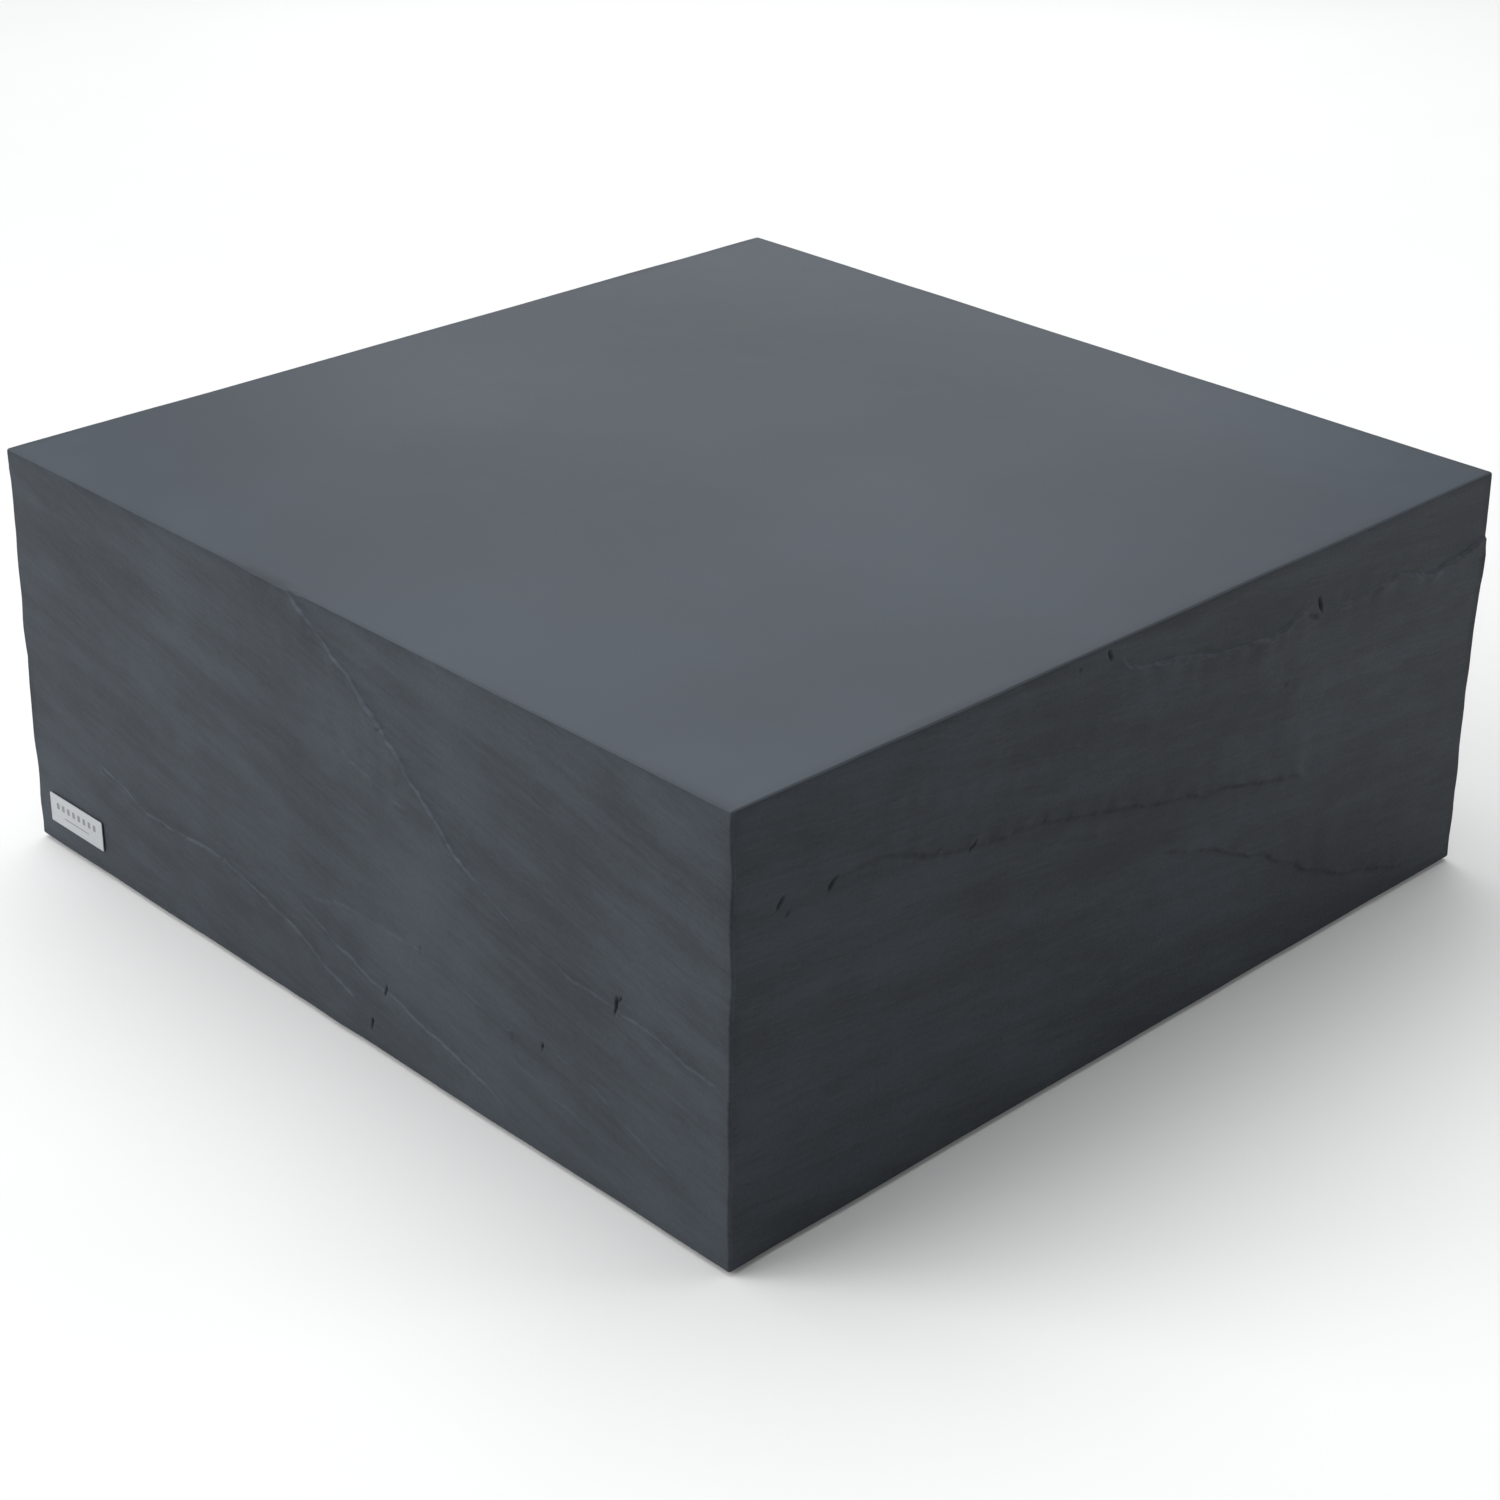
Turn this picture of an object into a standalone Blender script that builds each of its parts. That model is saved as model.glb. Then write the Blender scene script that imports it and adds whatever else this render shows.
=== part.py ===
"""Low square block table in cast stone with a split-slate look, standing on four levelling feet.

One thin-walled casting makes the top and the four sides. It is hollow and open underneath, with two
crossed ribs under the top and a solid block in each corner. A steel insert is cast into each block,
and a levelling foot screws into it: a hexagon stud held by a lock nut, turning in a nylon base that
stands on a rubber pad. A metal plate is taped to the front, near its lower left corner.

Frame: metres, +Z up, origin on the floor under the middle of the block, front towards -Y.
"""

import math

import bmesh
import bpy
from mathutils import Matrix, Vector

# The casting
RIM_WIDTH = 1.070  # across the outer faces at the lower rim, both ways
SHELL_HEIGHT = 0.442  # from the rim to the top face
DRAFT_ANGLE = math.radians(0.6)  # the sides lean in towards the top, to leave the mould
TOP_THICKNESS = 0.018
WALL_THICKNESS = 0.015
ARRIS_RADIUS = 0.003  # outer edges
COVE_RADIUS = 0.014  # where the walls meet the top inside
RIB_WIDTH = 0.024
RIB_DEPTH = 0.038  # below the underside of the top

# The corner blocks, each with a foot in its middle
BLOCK_WIDTH = 0.095  # from the inner face of the wall at the rim
BLOCK_COVER = 0.010  # cast over the end of the stud's hole

# The gap between pieces that touch or turn in each other
SEAT_GAP = 0.0003

# Cast-in threaded insert
THREAD_DIAMETER = 0.010
THREAD_CLEARANCE = 0.0003  # round the stud's thread, on the radius
INSERT_WALL = 0.0028
INSERT_LENGTH = 0.030
FLANGE_OVERHANG = 0.0035  # past the sleeve, on the radius
FLANGE_THICKNESS = 0.0015

# Levelling foot, screwed right in
RIM_GAP = 0.004  # from the floor to the casting's rim
STUD_THREAD_LENGTH = 0.050
STUD_END_CHAMFER = 0.0012
STUD_END_CLEARANCE = 0.004  # free depth over the end of the stud
WRENCH_LAND = 0.0035  # from the thread to the hexagon's flats, on the collar and the lock nut
HEXAGON_CHAMFER_ANGLE = math.radians(30)
COLLAR_THICKNESS = 0.006
LOCK_NUT_THICKNESS = 0.006
SPIGOT_DIAMETER = 0.008  # the stud's plain end, which turns in the base
SPIGOT_HEAD_OVERHANG = 0.002  # spread inside the base to keep the stud in it, on the radius
SPIGOT_HEAD_THICKNESS = 0.0012
PAD_DIAMETER = 0.037
PAD_THICKNESS = 0.003
PAD_EDGE_CHAMFER = 0.0006
PAD_STAND = 0.0015  # how far the pad stands out of the base
BASE_WALL = 0.0032  # round the pad
BASE_EDGE_ROOF = 0.0009  # over the pad, at the base's edge
BASE_BOSS_WALL = 0.0046  # round the spigot's head
BASE_BOSS_ROOF = 0.0039  # over the spigot's head
BASE_BOSS_TAPER = 0.0012  # how much the boss narrows towards its top, on the radius

# Name plate
PLATE_WIDTH = 0.098
PLATE_HEIGHT = 0.0335
PLATE_THICKNESS = 0.0008
PLATE_CORNER_RADIUS = 0.0012
TAPE_THICKNESS = 0.0008
TAPE_SETBACK = 0.0008  # the tape's edge, inside the plate's
PLATE_EDGE_GAP = 0.028  # to the block's corner and to its rim

ROUND_SEGMENTS = 36
ARRIS_SEGMENTS = 3
COVE_SEGMENTS = 3

CORNERS = {
    "front_left": (-1, -1),
    "front_right": (1, -1),
    "back_left": (-1, 1),
    "back_right": (1, 1),
}

# Radii, worked out from the sizes above
THREAD_RADIUS = THREAD_DIAMETER / 2
BORE_RADIUS = THREAD_RADIUS + THREAD_CLEARANCE
INSERT_RADIUS = BORE_RADIUS + INSERT_WALL
FLAT_RADIUS = THREAD_RADIUS + WRENCH_LAND
SPIGOT_RADIUS = SPIGOT_DIAMETER / 2
SPIGOT_HEAD_RADIUS = SPIGOT_RADIUS + SPIGOT_HEAD_OVERHANG
PAD_RADIUS = PAD_DIAMETER / 2
PAD_HOLE_RADIUS = PAD_RADIUS + SEAT_GAP
HEAD_HOLE_RADIUS = SPIGOT_HEAD_RADIUS + SEAT_GAP

# Heights over the floor, stacked from the pad up
BASE_LOW = PAD_THICKNESS - PAD_STAND
PAD_SEAT = PAD_THICKNESS + SEAT_GAP
SPIGOT_HEAD_LOW = PAD_SEAT + SEAT_GAP
SPIGOT_HEAD_HIGH = SPIGOT_HEAD_LOW + SPIGOT_HEAD_THICKNESS
SPIGOT_HEAD_SEAT = SPIGOT_HEAD_HIGH + SEAT_GAP
BASE_HIGH = SPIGOT_HEAD_SEAT + BASE_BOSS_ROOF
COLLAR_LOW = BASE_HIGH + SEAT_GAP
COLLAR_HIGH = COLLAR_LOW + COLLAR_THICKNESS
NUT_LOW = COLLAR_HIGH + SEAT_GAP
NUT_HIGH = NUT_LOW + LOCK_NUT_THICKNESS
FLANGE_LOW = NUT_HIGH + SEAT_GAP
FLANGE_HIGH = FLANGE_LOW + FLANGE_THICKNESS
INSERT_HIGH = FLANGE_HIGH + INSERT_LENGTH
STUD_HIGH = COLLAR_HIGH + STUD_THREAD_LENGTH
HOLE_HIGH = max(STUD_HIGH, INSERT_HIGH) + STUD_END_CLEARANCE
BLOCK_LOW = FLANGE_HIGH + SEAT_GAP
BLOCK_HIGH = HOLE_HIGH + BLOCK_COVER

# The casting's outline
HALF_RIM = RIM_WIDTH / 2
TOP_HEIGHT = RIM_GAP + SHELL_HEIGHT
CAVITY_TOP = TOP_HEIGHT - TOP_THICKNESS
BLOCK_INNER = HALF_RIM - WALL_THICKNESS - BLOCK_WIDTH
FOOT_REACH = HALF_RIM - WALL_THICKNESS - BLOCK_WIDTH / 2
PAST = 0.01  # how far a cutter runs past what it cuts


def half_width(height):
    """Half the width across the outer faces, at this height over the floor."""
    return HALF_RIM - (height - RIM_GAP) * math.tan(DRAFT_ANGLE)


def clear_scene():
    for existing in list(bpy.data.objects):
        bpy.data.objects.remove(existing, do_unlink=True)


def new_material(name, colour, roughness, metallic=0.0):
    material = bpy.data.materials.new(name)
    material.use_nodes = True
    shader = material.node_tree.nodes["Principled BSDF"]
    shader.inputs["Base Color"].default_value = (*colour, 1.0)
    shader.inputs["Roughness"].default_value = roughness
    shader.inputs["Metallic"].default_value = metallic
    material.diffuse_color = (*colour, 1.0)
    return material


def new_object(name, mesh, material=None, parent=None):
    made = bpy.data.objects.new(name, mesh)
    bpy.context.scene.collection.objects.link(made)
    if material:
        mesh.materials.clear()
        mesh.materials.append(material)
    made.parent = parent
    return made


def new_cutter(name, mesh, parent=None):
    """A helper that shapes another object and isn't part of the table."""
    made = new_object(name, mesh, parent=parent)
    made.hide_render = True
    made.display_type = "WIRE"
    return made


def mesh_from(build, name):
    """A mesh that the function build fills through bmesh, with its faces turned outwards."""
    shape = bmesh.new()
    build(shape)
    bmesh.ops.recalc_face_normals(shape, faces=shape.faces)
    mesh = bpy.data.meshes.new(name)
    shape.to_mesh(mesh)
    shape.free()
    return mesh


def box_mesh(name, low, high):
    def build(shape):
        bmesh.ops.create_cube(shape, size=1.0)
        size = Vector(high) - Vector(low)
        middle = (Vector(high) + Vector(low)) / 2
        bmesh.ops.transform(
            shape, matrix=Matrix.Translation(middle) @ Matrix.Diagonal((*size, 1)), verts=shape.verts
        )

    return mesh_from(build, name)


def square_frustum_mesh(name, low_half, high_half, low, high):
    """A square block whose half width goes from low_half at height low to high_half at height high."""

    def build(shape):
        bmesh.ops.create_cube(shape, size=2.0)
        for corner in shape.verts:
            upper = corner.co.z > 0
            half = high_half if upper else low_half
            corner.co = Vector((corner.co.x * half, corner.co.y * half, high if upper else low))

    return mesh_from(build, name)


def turned_mesh(name, profile, closed_ring=False):
    """A body turned about Z from points (radius, height). A closed ring has a bore along its axis."""

    def build(shape):
        points = [shape.verts.new((radius, 0, height)) for radius, height in profile]
        pairs = list(zip(points, points[1:]))
        if closed_ring:
            pairs.append((points[-1], points[0]))
        edges = [shape.edges.new(pair) for pair in pairs]
        bmesh.ops.spin(
            shape,
            geom=points + edges,
            cent=(0, 0, 0),
            axis=(0, 0, 1),
            angle=math.tau,
            steps=ROUND_SEGMENTS,
            use_merge=True,
        )
        bmesh.ops.remove_doubles(shape, verts=shape.verts, dist=1e-6)

    mesh = mesh_from(build, name)
    mesh.shade_smooth()
    mesh.set_sharp_from_angle(angle=math.radians(30))
    return mesh


def hexagon_mesh(name, low, high):
    """A hexagon prism with its corners turned off at both ends, as on a nut."""
    corner_radius = FLAT_RADIUS * 2 / math.sqrt(3)
    drop = (corner_radius - FLAT_RADIUS) * math.tan(HEXAGON_CHAMFER_ANGLE)

    def build(shape):
        rings = []
        for height, end in ((low, -1), (high, 1)):
            at_flats = []
            for side in range(6):
                angle = side * math.tau / 6
                corner = (
                    corner_radius * math.cos(angle),
                    corner_radius * math.sin(angle),
                    height - end * drop,
                )
                middle_angle = angle + math.tau / 12
                middle = (
                    FLAT_RADIUS * math.cos(middle_angle),
                    FLAT_RADIUS * math.sin(middle_angle),
                    height,
                )
                at_flats += [shape.verts.new(corner), shape.verts.new(middle)]
            rings.append(at_flats)
        count = len(rings[0])
        for here in range(count):
            after = (here + 1) % count
            shape.faces.new((rings[0][here], rings[0][after], rings[1][after], rings[1][here]))
        for ring in rings:
            cap = shape.faces.new([vertex for vertex in ring[1::2]])
            cap_vertices = list(cap.verts)
            for side in range(6):
                corner = ring[2 * side]
                shape.faces.new((cap_vertices[side - 1], corner, cap_vertices[side]))

    return mesh_from(build, name)


def cut(target, cutter, operation="DIFFERENCE"):
    boolean = target.modifiers.new(f"{operation.lower()}_{cutter.name}", "BOOLEAN")
    boolean.operation = operation
    boolean.solver = "EXACT"
    boolean.object = cutter


def add_bevel(target, width, segments):
    bevel = target.modifiers.new("rounded_edges", "BEVEL")
    bevel.width = width
    bevel.segments = segments
    bevel.limit_method = "ANGLE"
    bevel.angle_limit = math.radians(40)


def build_casting(material, foot_axes):
    """The top and sides in one piece: a drafted block, hollowed by a core that leaves ribs and blocks."""
    mesh = square_frustum_mesh(
        "cast_shell", half_width(RIM_GAP), half_width(TOP_HEIGHT), RIM_GAP, TOP_HEIGHT
    )
    shell = new_object("cast_shell", mesh, material)
    add_bevel(shell, ARRIS_RADIUS, ARRIS_SEGMENTS)

    core_low = RIM_GAP - PAST
    core = new_cutter(
        "core",
        square_frustum_mesh(
            "core",
            half_width(core_low) - WALL_THICKNESS,
            half_width(CAVITY_TOP) - WALL_THICKNESS,
            core_low,
            CAVITY_TOP,
        ),
    )
    add_bevel(core, COVE_RADIUS, COVE_SEGMENTS)

    rib_low = CAVITY_TOP - RIB_DEPTH
    for name, along_x in (("rib_across", True), ("rib_along", False)):
        half = (HALF_RIM, RIB_WIDTH / 2) if along_x else (RIB_WIDTH / 2, HALF_RIM)
        low = (-half[0], -half[1], rib_low)
        high = (half[0], half[1], CAVITY_TOP + PAST)
        cut(core, new_cutter(name, box_mesh(name, low, high)))

    for place, (side_x, side_y) in CORNERS.items():
        name = f"block_{place}"
        xs = sorted((side_x * BLOCK_INNER, side_x * HALF_RIM))
        ys = sorted((side_y * BLOCK_INNER, side_y * HALF_RIM))
        block = box_mesh(name, (xs[0], ys[0], BLOCK_LOW), (xs[1], ys[1], BLOCK_HIGH))
        cut(core, new_cutter(name, block))

    cut(shell, core)

    hole_mesh = turned_mesh(
        "insert_hole",
        [
            (0, HOLE_HIGH),
            (BORE_RADIUS, HOLE_HIGH),
            (BORE_RADIUS, INSERT_HIGH + SEAT_GAP),
            (INSERT_RADIUS + SEAT_GAP, INSERT_HIGH + SEAT_GAP),
            (INSERT_RADIUS + SEAT_GAP, BLOCK_LOW - PAST),
            (0, BLOCK_LOW - PAST),
        ],
    )
    for place, axis in foot_axes.items():
        cut(shell, new_cutter(f"insert_hole_{place}", hole_mesh, axis))


def insert_mesh():
    """A flanged steel sleeve, its flange under the block."""
    return turned_mesh(
        "insert",
        [
            (BORE_RADIUS, INSERT_HIGH),
            (INSERT_RADIUS, INSERT_HIGH),
            (INSERT_RADIUS, FLANGE_HIGH),
            (INSERT_RADIUS + FLANGE_OVERHANG, FLANGE_HIGH),
            (INSERT_RADIUS + FLANGE_OVERHANG, FLANGE_LOW),
            (BORE_RADIUS, FLANGE_LOW),
        ],
        closed_ring=True,
    )


def base_mesh():
    """The nylon foot: a disc with a boss, hollowed underneath for the pad and the spigot's head."""
    hole = SPIGOT_RADIUS + SEAT_GAP
    boss = HEAD_HOLE_RADIUS + BASE_BOSS_WALL
    edge = PAD_HOLE_RADIUS + BASE_WALL
    return turned_mesh(
        "foot_base",
        [
            (hole, BASE_HIGH),
            (boss - BASE_BOSS_TAPER, BASE_HIGH),
            (boss, SPIGOT_HEAD_SEAT + BASE_EDGE_ROOF),
            (edge, PAD_SEAT + BASE_EDGE_ROOF),
            (edge, BASE_LOW),
            (PAD_HOLE_RADIUS, BASE_LOW),
            (PAD_HOLE_RADIUS, PAD_SEAT),
            (HEAD_HOLE_RADIUS, PAD_SEAT),
            (HEAD_HOLE_RADIUS, SPIGOT_HEAD_SEAT),
            (hole, SPIGOT_HEAD_SEAT),
        ],
        closed_ring=True,
    )


def pad_mesh():
    return turned_mesh(
        "foot_pad",
        [
            (0, PAD_THICKNESS),
            (PAD_RADIUS, PAD_THICKNESS),
            (PAD_RADIUS, PAD_EDGE_CHAMFER),
            (PAD_RADIUS - PAD_EDGE_CHAMFER, 0),
            (0, 0),
        ],
    )


def stud_mesh():
    """Thread above the collar; spigot and its spread head below it."""
    inside_collar = (COLLAR_LOW + COLLAR_HIGH) / 2
    return turned_mesh(
        "foot_stud",
        [
            (0, STUD_HIGH),
            (THREAD_RADIUS - STUD_END_CHAMFER, STUD_HIGH),
            (THREAD_RADIUS, STUD_HIGH - STUD_END_CHAMFER),
            (THREAD_RADIUS, inside_collar),
            (SPIGOT_RADIUS, inside_collar),
            (SPIGOT_RADIUS, SPIGOT_HEAD_HIGH),
            (SPIGOT_HEAD_RADIUS, SPIGOT_HEAD_HIGH),
            (SPIGOT_HEAD_RADIUS, SPIGOT_HEAD_LOW),
            (0, SPIGOT_HEAD_LOW),
        ],
    )


def build_feet(materials, foot_axes):
    """One levelling foot and its insert on each corner's axis."""
    insert = insert_mesh()
    base = base_mesh()
    pad = pad_mesh()
    stud = stud_mesh()
    collar = hexagon_mesh("collar", COLLAR_LOW, COLLAR_HIGH)
    nut = hexagon_mesh("lock_nut", NUT_LOW, NUT_HIGH)
    nut_bore = turned_mesh(
        "nut_bore",
        [
            (0, NUT_HIGH + PAST),
            (BORE_RADIUS, NUT_HIGH + PAST),
            (BORE_RADIUS, NUT_LOW - PAST),
            (0, NUT_LOW - PAST),
        ],
    )
    for place, axis in foot_axes.items():
        new_object(f"insert_{place}", insert, materials["zinc"], axis)
        new_object(f"foot_base_{place}", base, materials["nylon"], axis)
        new_object(f"foot_pad_{place}", pad, materials["rubber"], axis)
        stud_object = new_object(f"foot_stud_{place}", stud, materials["zinc"], axis)
        cut(stud_object, new_cutter(f"collar_{place}", collar, axis), "UNION")
        nut_object = new_object(f"lock_nut_{place}", nut, materials["zinc"], axis)
        cut(nut_object, new_cutter(f"nut_bore_{place}", nut_bore, axis))


def rounded_plate_mesh(name, width, height, thickness, corner_radius):
    """A flat plate in X and Z with round corners, its back on Y = 0 and its face towards -Y."""

    def build(shape):
        bmesh.ops.create_cube(shape, size=1.0)
        bmesh.ops.transform(
            shape,
            matrix=Matrix.Diagonal((width, thickness, height, 1)) @ Matrix.Translation((0, -0.5, 0)),
            verts=shape.verts,
        )
        uprights = [
            edge for edge in shape.edges if abs((edge.verts[0].co - edge.verts[1].co).y) > thickness / 2
        ]
        bmesh.ops.bevel(
            shape, geom=uprights, offset=corner_radius, segments=4, profile=0.5, affect="EDGES"
        )

    return mesh_from(build, name)


def build_name_plate(materials):
    """The plate and its foam tape, square to the drafted front face."""
    middle_height = RIM_GAP + PLATE_EDGE_GAP + PLATE_HEIGHT / 2
    face = bpy.data.objects.new("plate_place", None)
    bpy.context.scene.collection.objects.link(face)
    left_edge = -half_width(middle_height) + PLATE_EDGE_GAP
    face.location = (left_edge + PLATE_WIDTH / 2, -half_width(middle_height), middle_height)
    face.rotation_euler = (-DRAFT_ANGLE, 0, 0)

    tape_mesh = rounded_plate_mesh(
        "plate_tape",
        PLATE_WIDTH - 2 * TAPE_SETBACK,
        PLATE_HEIGHT - 2 * TAPE_SETBACK,
        TAPE_THICKNESS,
        PLATE_CORNER_RADIUS,
    )
    tape = new_object("plate_tape", tape_mesh, materials["foam"], face)
    tape.location.y = -SEAT_GAP

    plate_mesh = rounded_plate_mesh(
        "name_plate", PLATE_WIDTH, PLATE_HEIGHT, PLATE_THICKNESS, PLATE_CORNER_RADIUS
    )
    plate = new_object("name_plate", plate_mesh, materials["plate"], face)
    plate.location.y = -(SEAT_GAP + TAPE_THICKNESS + SEAT_GAP)


def place_foot_axes():
    """An empty on the floor under each foot. The foot slides and turns about its Z axis."""
    axes = {}
    for place, (side_x, side_y) in CORNERS.items():
        axis = bpy.data.objects.new(f"foot_axis_{place}", None)
        bpy.context.scene.collection.objects.link(axis)
        axis.location = (side_x * FOOT_REACH, side_y * FOOT_REACH, 0)
        axes[place] = axis
    return axes


def build_table():
    materials = {
        "slate": new_material("cast_slate", (0.085, 0.098, 0.115), 0.62),
        "zinc": new_material("zinc_plate", (0.52, 0.53, 0.54), 0.38, 1.0),
        "nylon": new_material("black_nylon", (0.022, 0.022, 0.024), 0.5),
        "rubber": new_material("black_rubber", (0.015, 0.015, 0.016), 0.8),
        "plate": new_material("satin_steel", (0.62, 0.63, 0.64), 0.32, 1.0),
        "foam": new_material("foam_tape", (0.02, 0.02, 0.02), 0.9),
    }
    foot_axes = place_foot_axes()
    build_casting(materials["slate"], foot_axes)
    build_feet(materials, foot_axes)
    build_name_plate(materials)


clear_scene()
build_table()
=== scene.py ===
"""Low square block table in cast stone with a split-slate look: the looks of every piece.

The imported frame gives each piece's place and size. The script follows the table as it is put
together: the casting, the inserts cast into it, the levelling feet, the name plate on its tape, and
then the floor, the lights and the camera.
"""

import math

import bmesh
import bpy
import numpy as np
from mathutils import Matrix, Vector, noise


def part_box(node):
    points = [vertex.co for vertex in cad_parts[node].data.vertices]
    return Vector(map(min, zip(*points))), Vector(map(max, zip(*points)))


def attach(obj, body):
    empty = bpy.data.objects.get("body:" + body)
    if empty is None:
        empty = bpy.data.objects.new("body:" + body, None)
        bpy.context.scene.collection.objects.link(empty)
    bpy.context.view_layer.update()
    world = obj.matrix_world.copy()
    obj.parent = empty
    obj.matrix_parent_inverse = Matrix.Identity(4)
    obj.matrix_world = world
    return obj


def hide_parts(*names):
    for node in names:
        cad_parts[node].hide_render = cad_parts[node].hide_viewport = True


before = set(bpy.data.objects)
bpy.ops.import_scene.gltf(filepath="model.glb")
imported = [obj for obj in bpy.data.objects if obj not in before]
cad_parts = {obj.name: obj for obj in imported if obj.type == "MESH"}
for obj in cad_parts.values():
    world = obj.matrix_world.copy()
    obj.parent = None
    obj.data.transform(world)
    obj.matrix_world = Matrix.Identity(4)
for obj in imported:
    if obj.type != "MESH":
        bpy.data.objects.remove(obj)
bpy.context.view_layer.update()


# ---------------------------------------------------------------------------------------------
# The casting. A fibre-reinforced stone mix, poured upside down into a mould taken from split slate.
# The top comes out nearly flat. The sides keep the real stone's ledges, nicks and slanting grain,
# and a core leaves the inside hollow, with two crossed ribs and a block for each foot.
# ---------------------------------------------------------------------------------------------

cast_low, cast_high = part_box("cast_shell")
DRAFT = math.tan(math.radians(0.6))  # how much the sides lean in, per metre of height
ARRIS_RADIUS = 0.003
RIM = cast_low.z
TOP = cast_high.z
HALF_RIM = cast_high.x + ARRIS_RADIUS * DRAFT
HALF_TOP = HALF_RIM - (TOP - RIM) * DRAFT
TOP_SWELL = 0.0004  # how far the top wanders from flat
SKIN_STEP = 0.011  # the skin's mesh, away from ledges
SKIN_SETBACK = 0.0005  # the skin lies this far inside the flat, so that its swells stay near it
SKIN_REACH = 0.008  # the relief's full depth, for telling the skin from the core's surface
SPLIT_EDGE = 0.06  # how far from the top and the ends the skin wanders more
UP_SHELF, OVERHANG = -1, 1  # the side of a ledge that stands proud: the lower or the upper
LEDGE_BANDS = (0.012, 0.006, 0.0035)  # how near a ledge each finer mesh starts
LEDGE_RUN = {UP_SHELF: 0.0030, OVERHANG: 0.0060}  # across the slope of a ledge
LEDGE_FADE = 0.04  # the length over which a ledge dies away at each end
LEDGE_SHARE_LEAST = 0.01  # a ledge fainter than this share has no finer mesh
BROKEN_REACH = 0.016  # how far from a ledge the stone is rough

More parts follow.
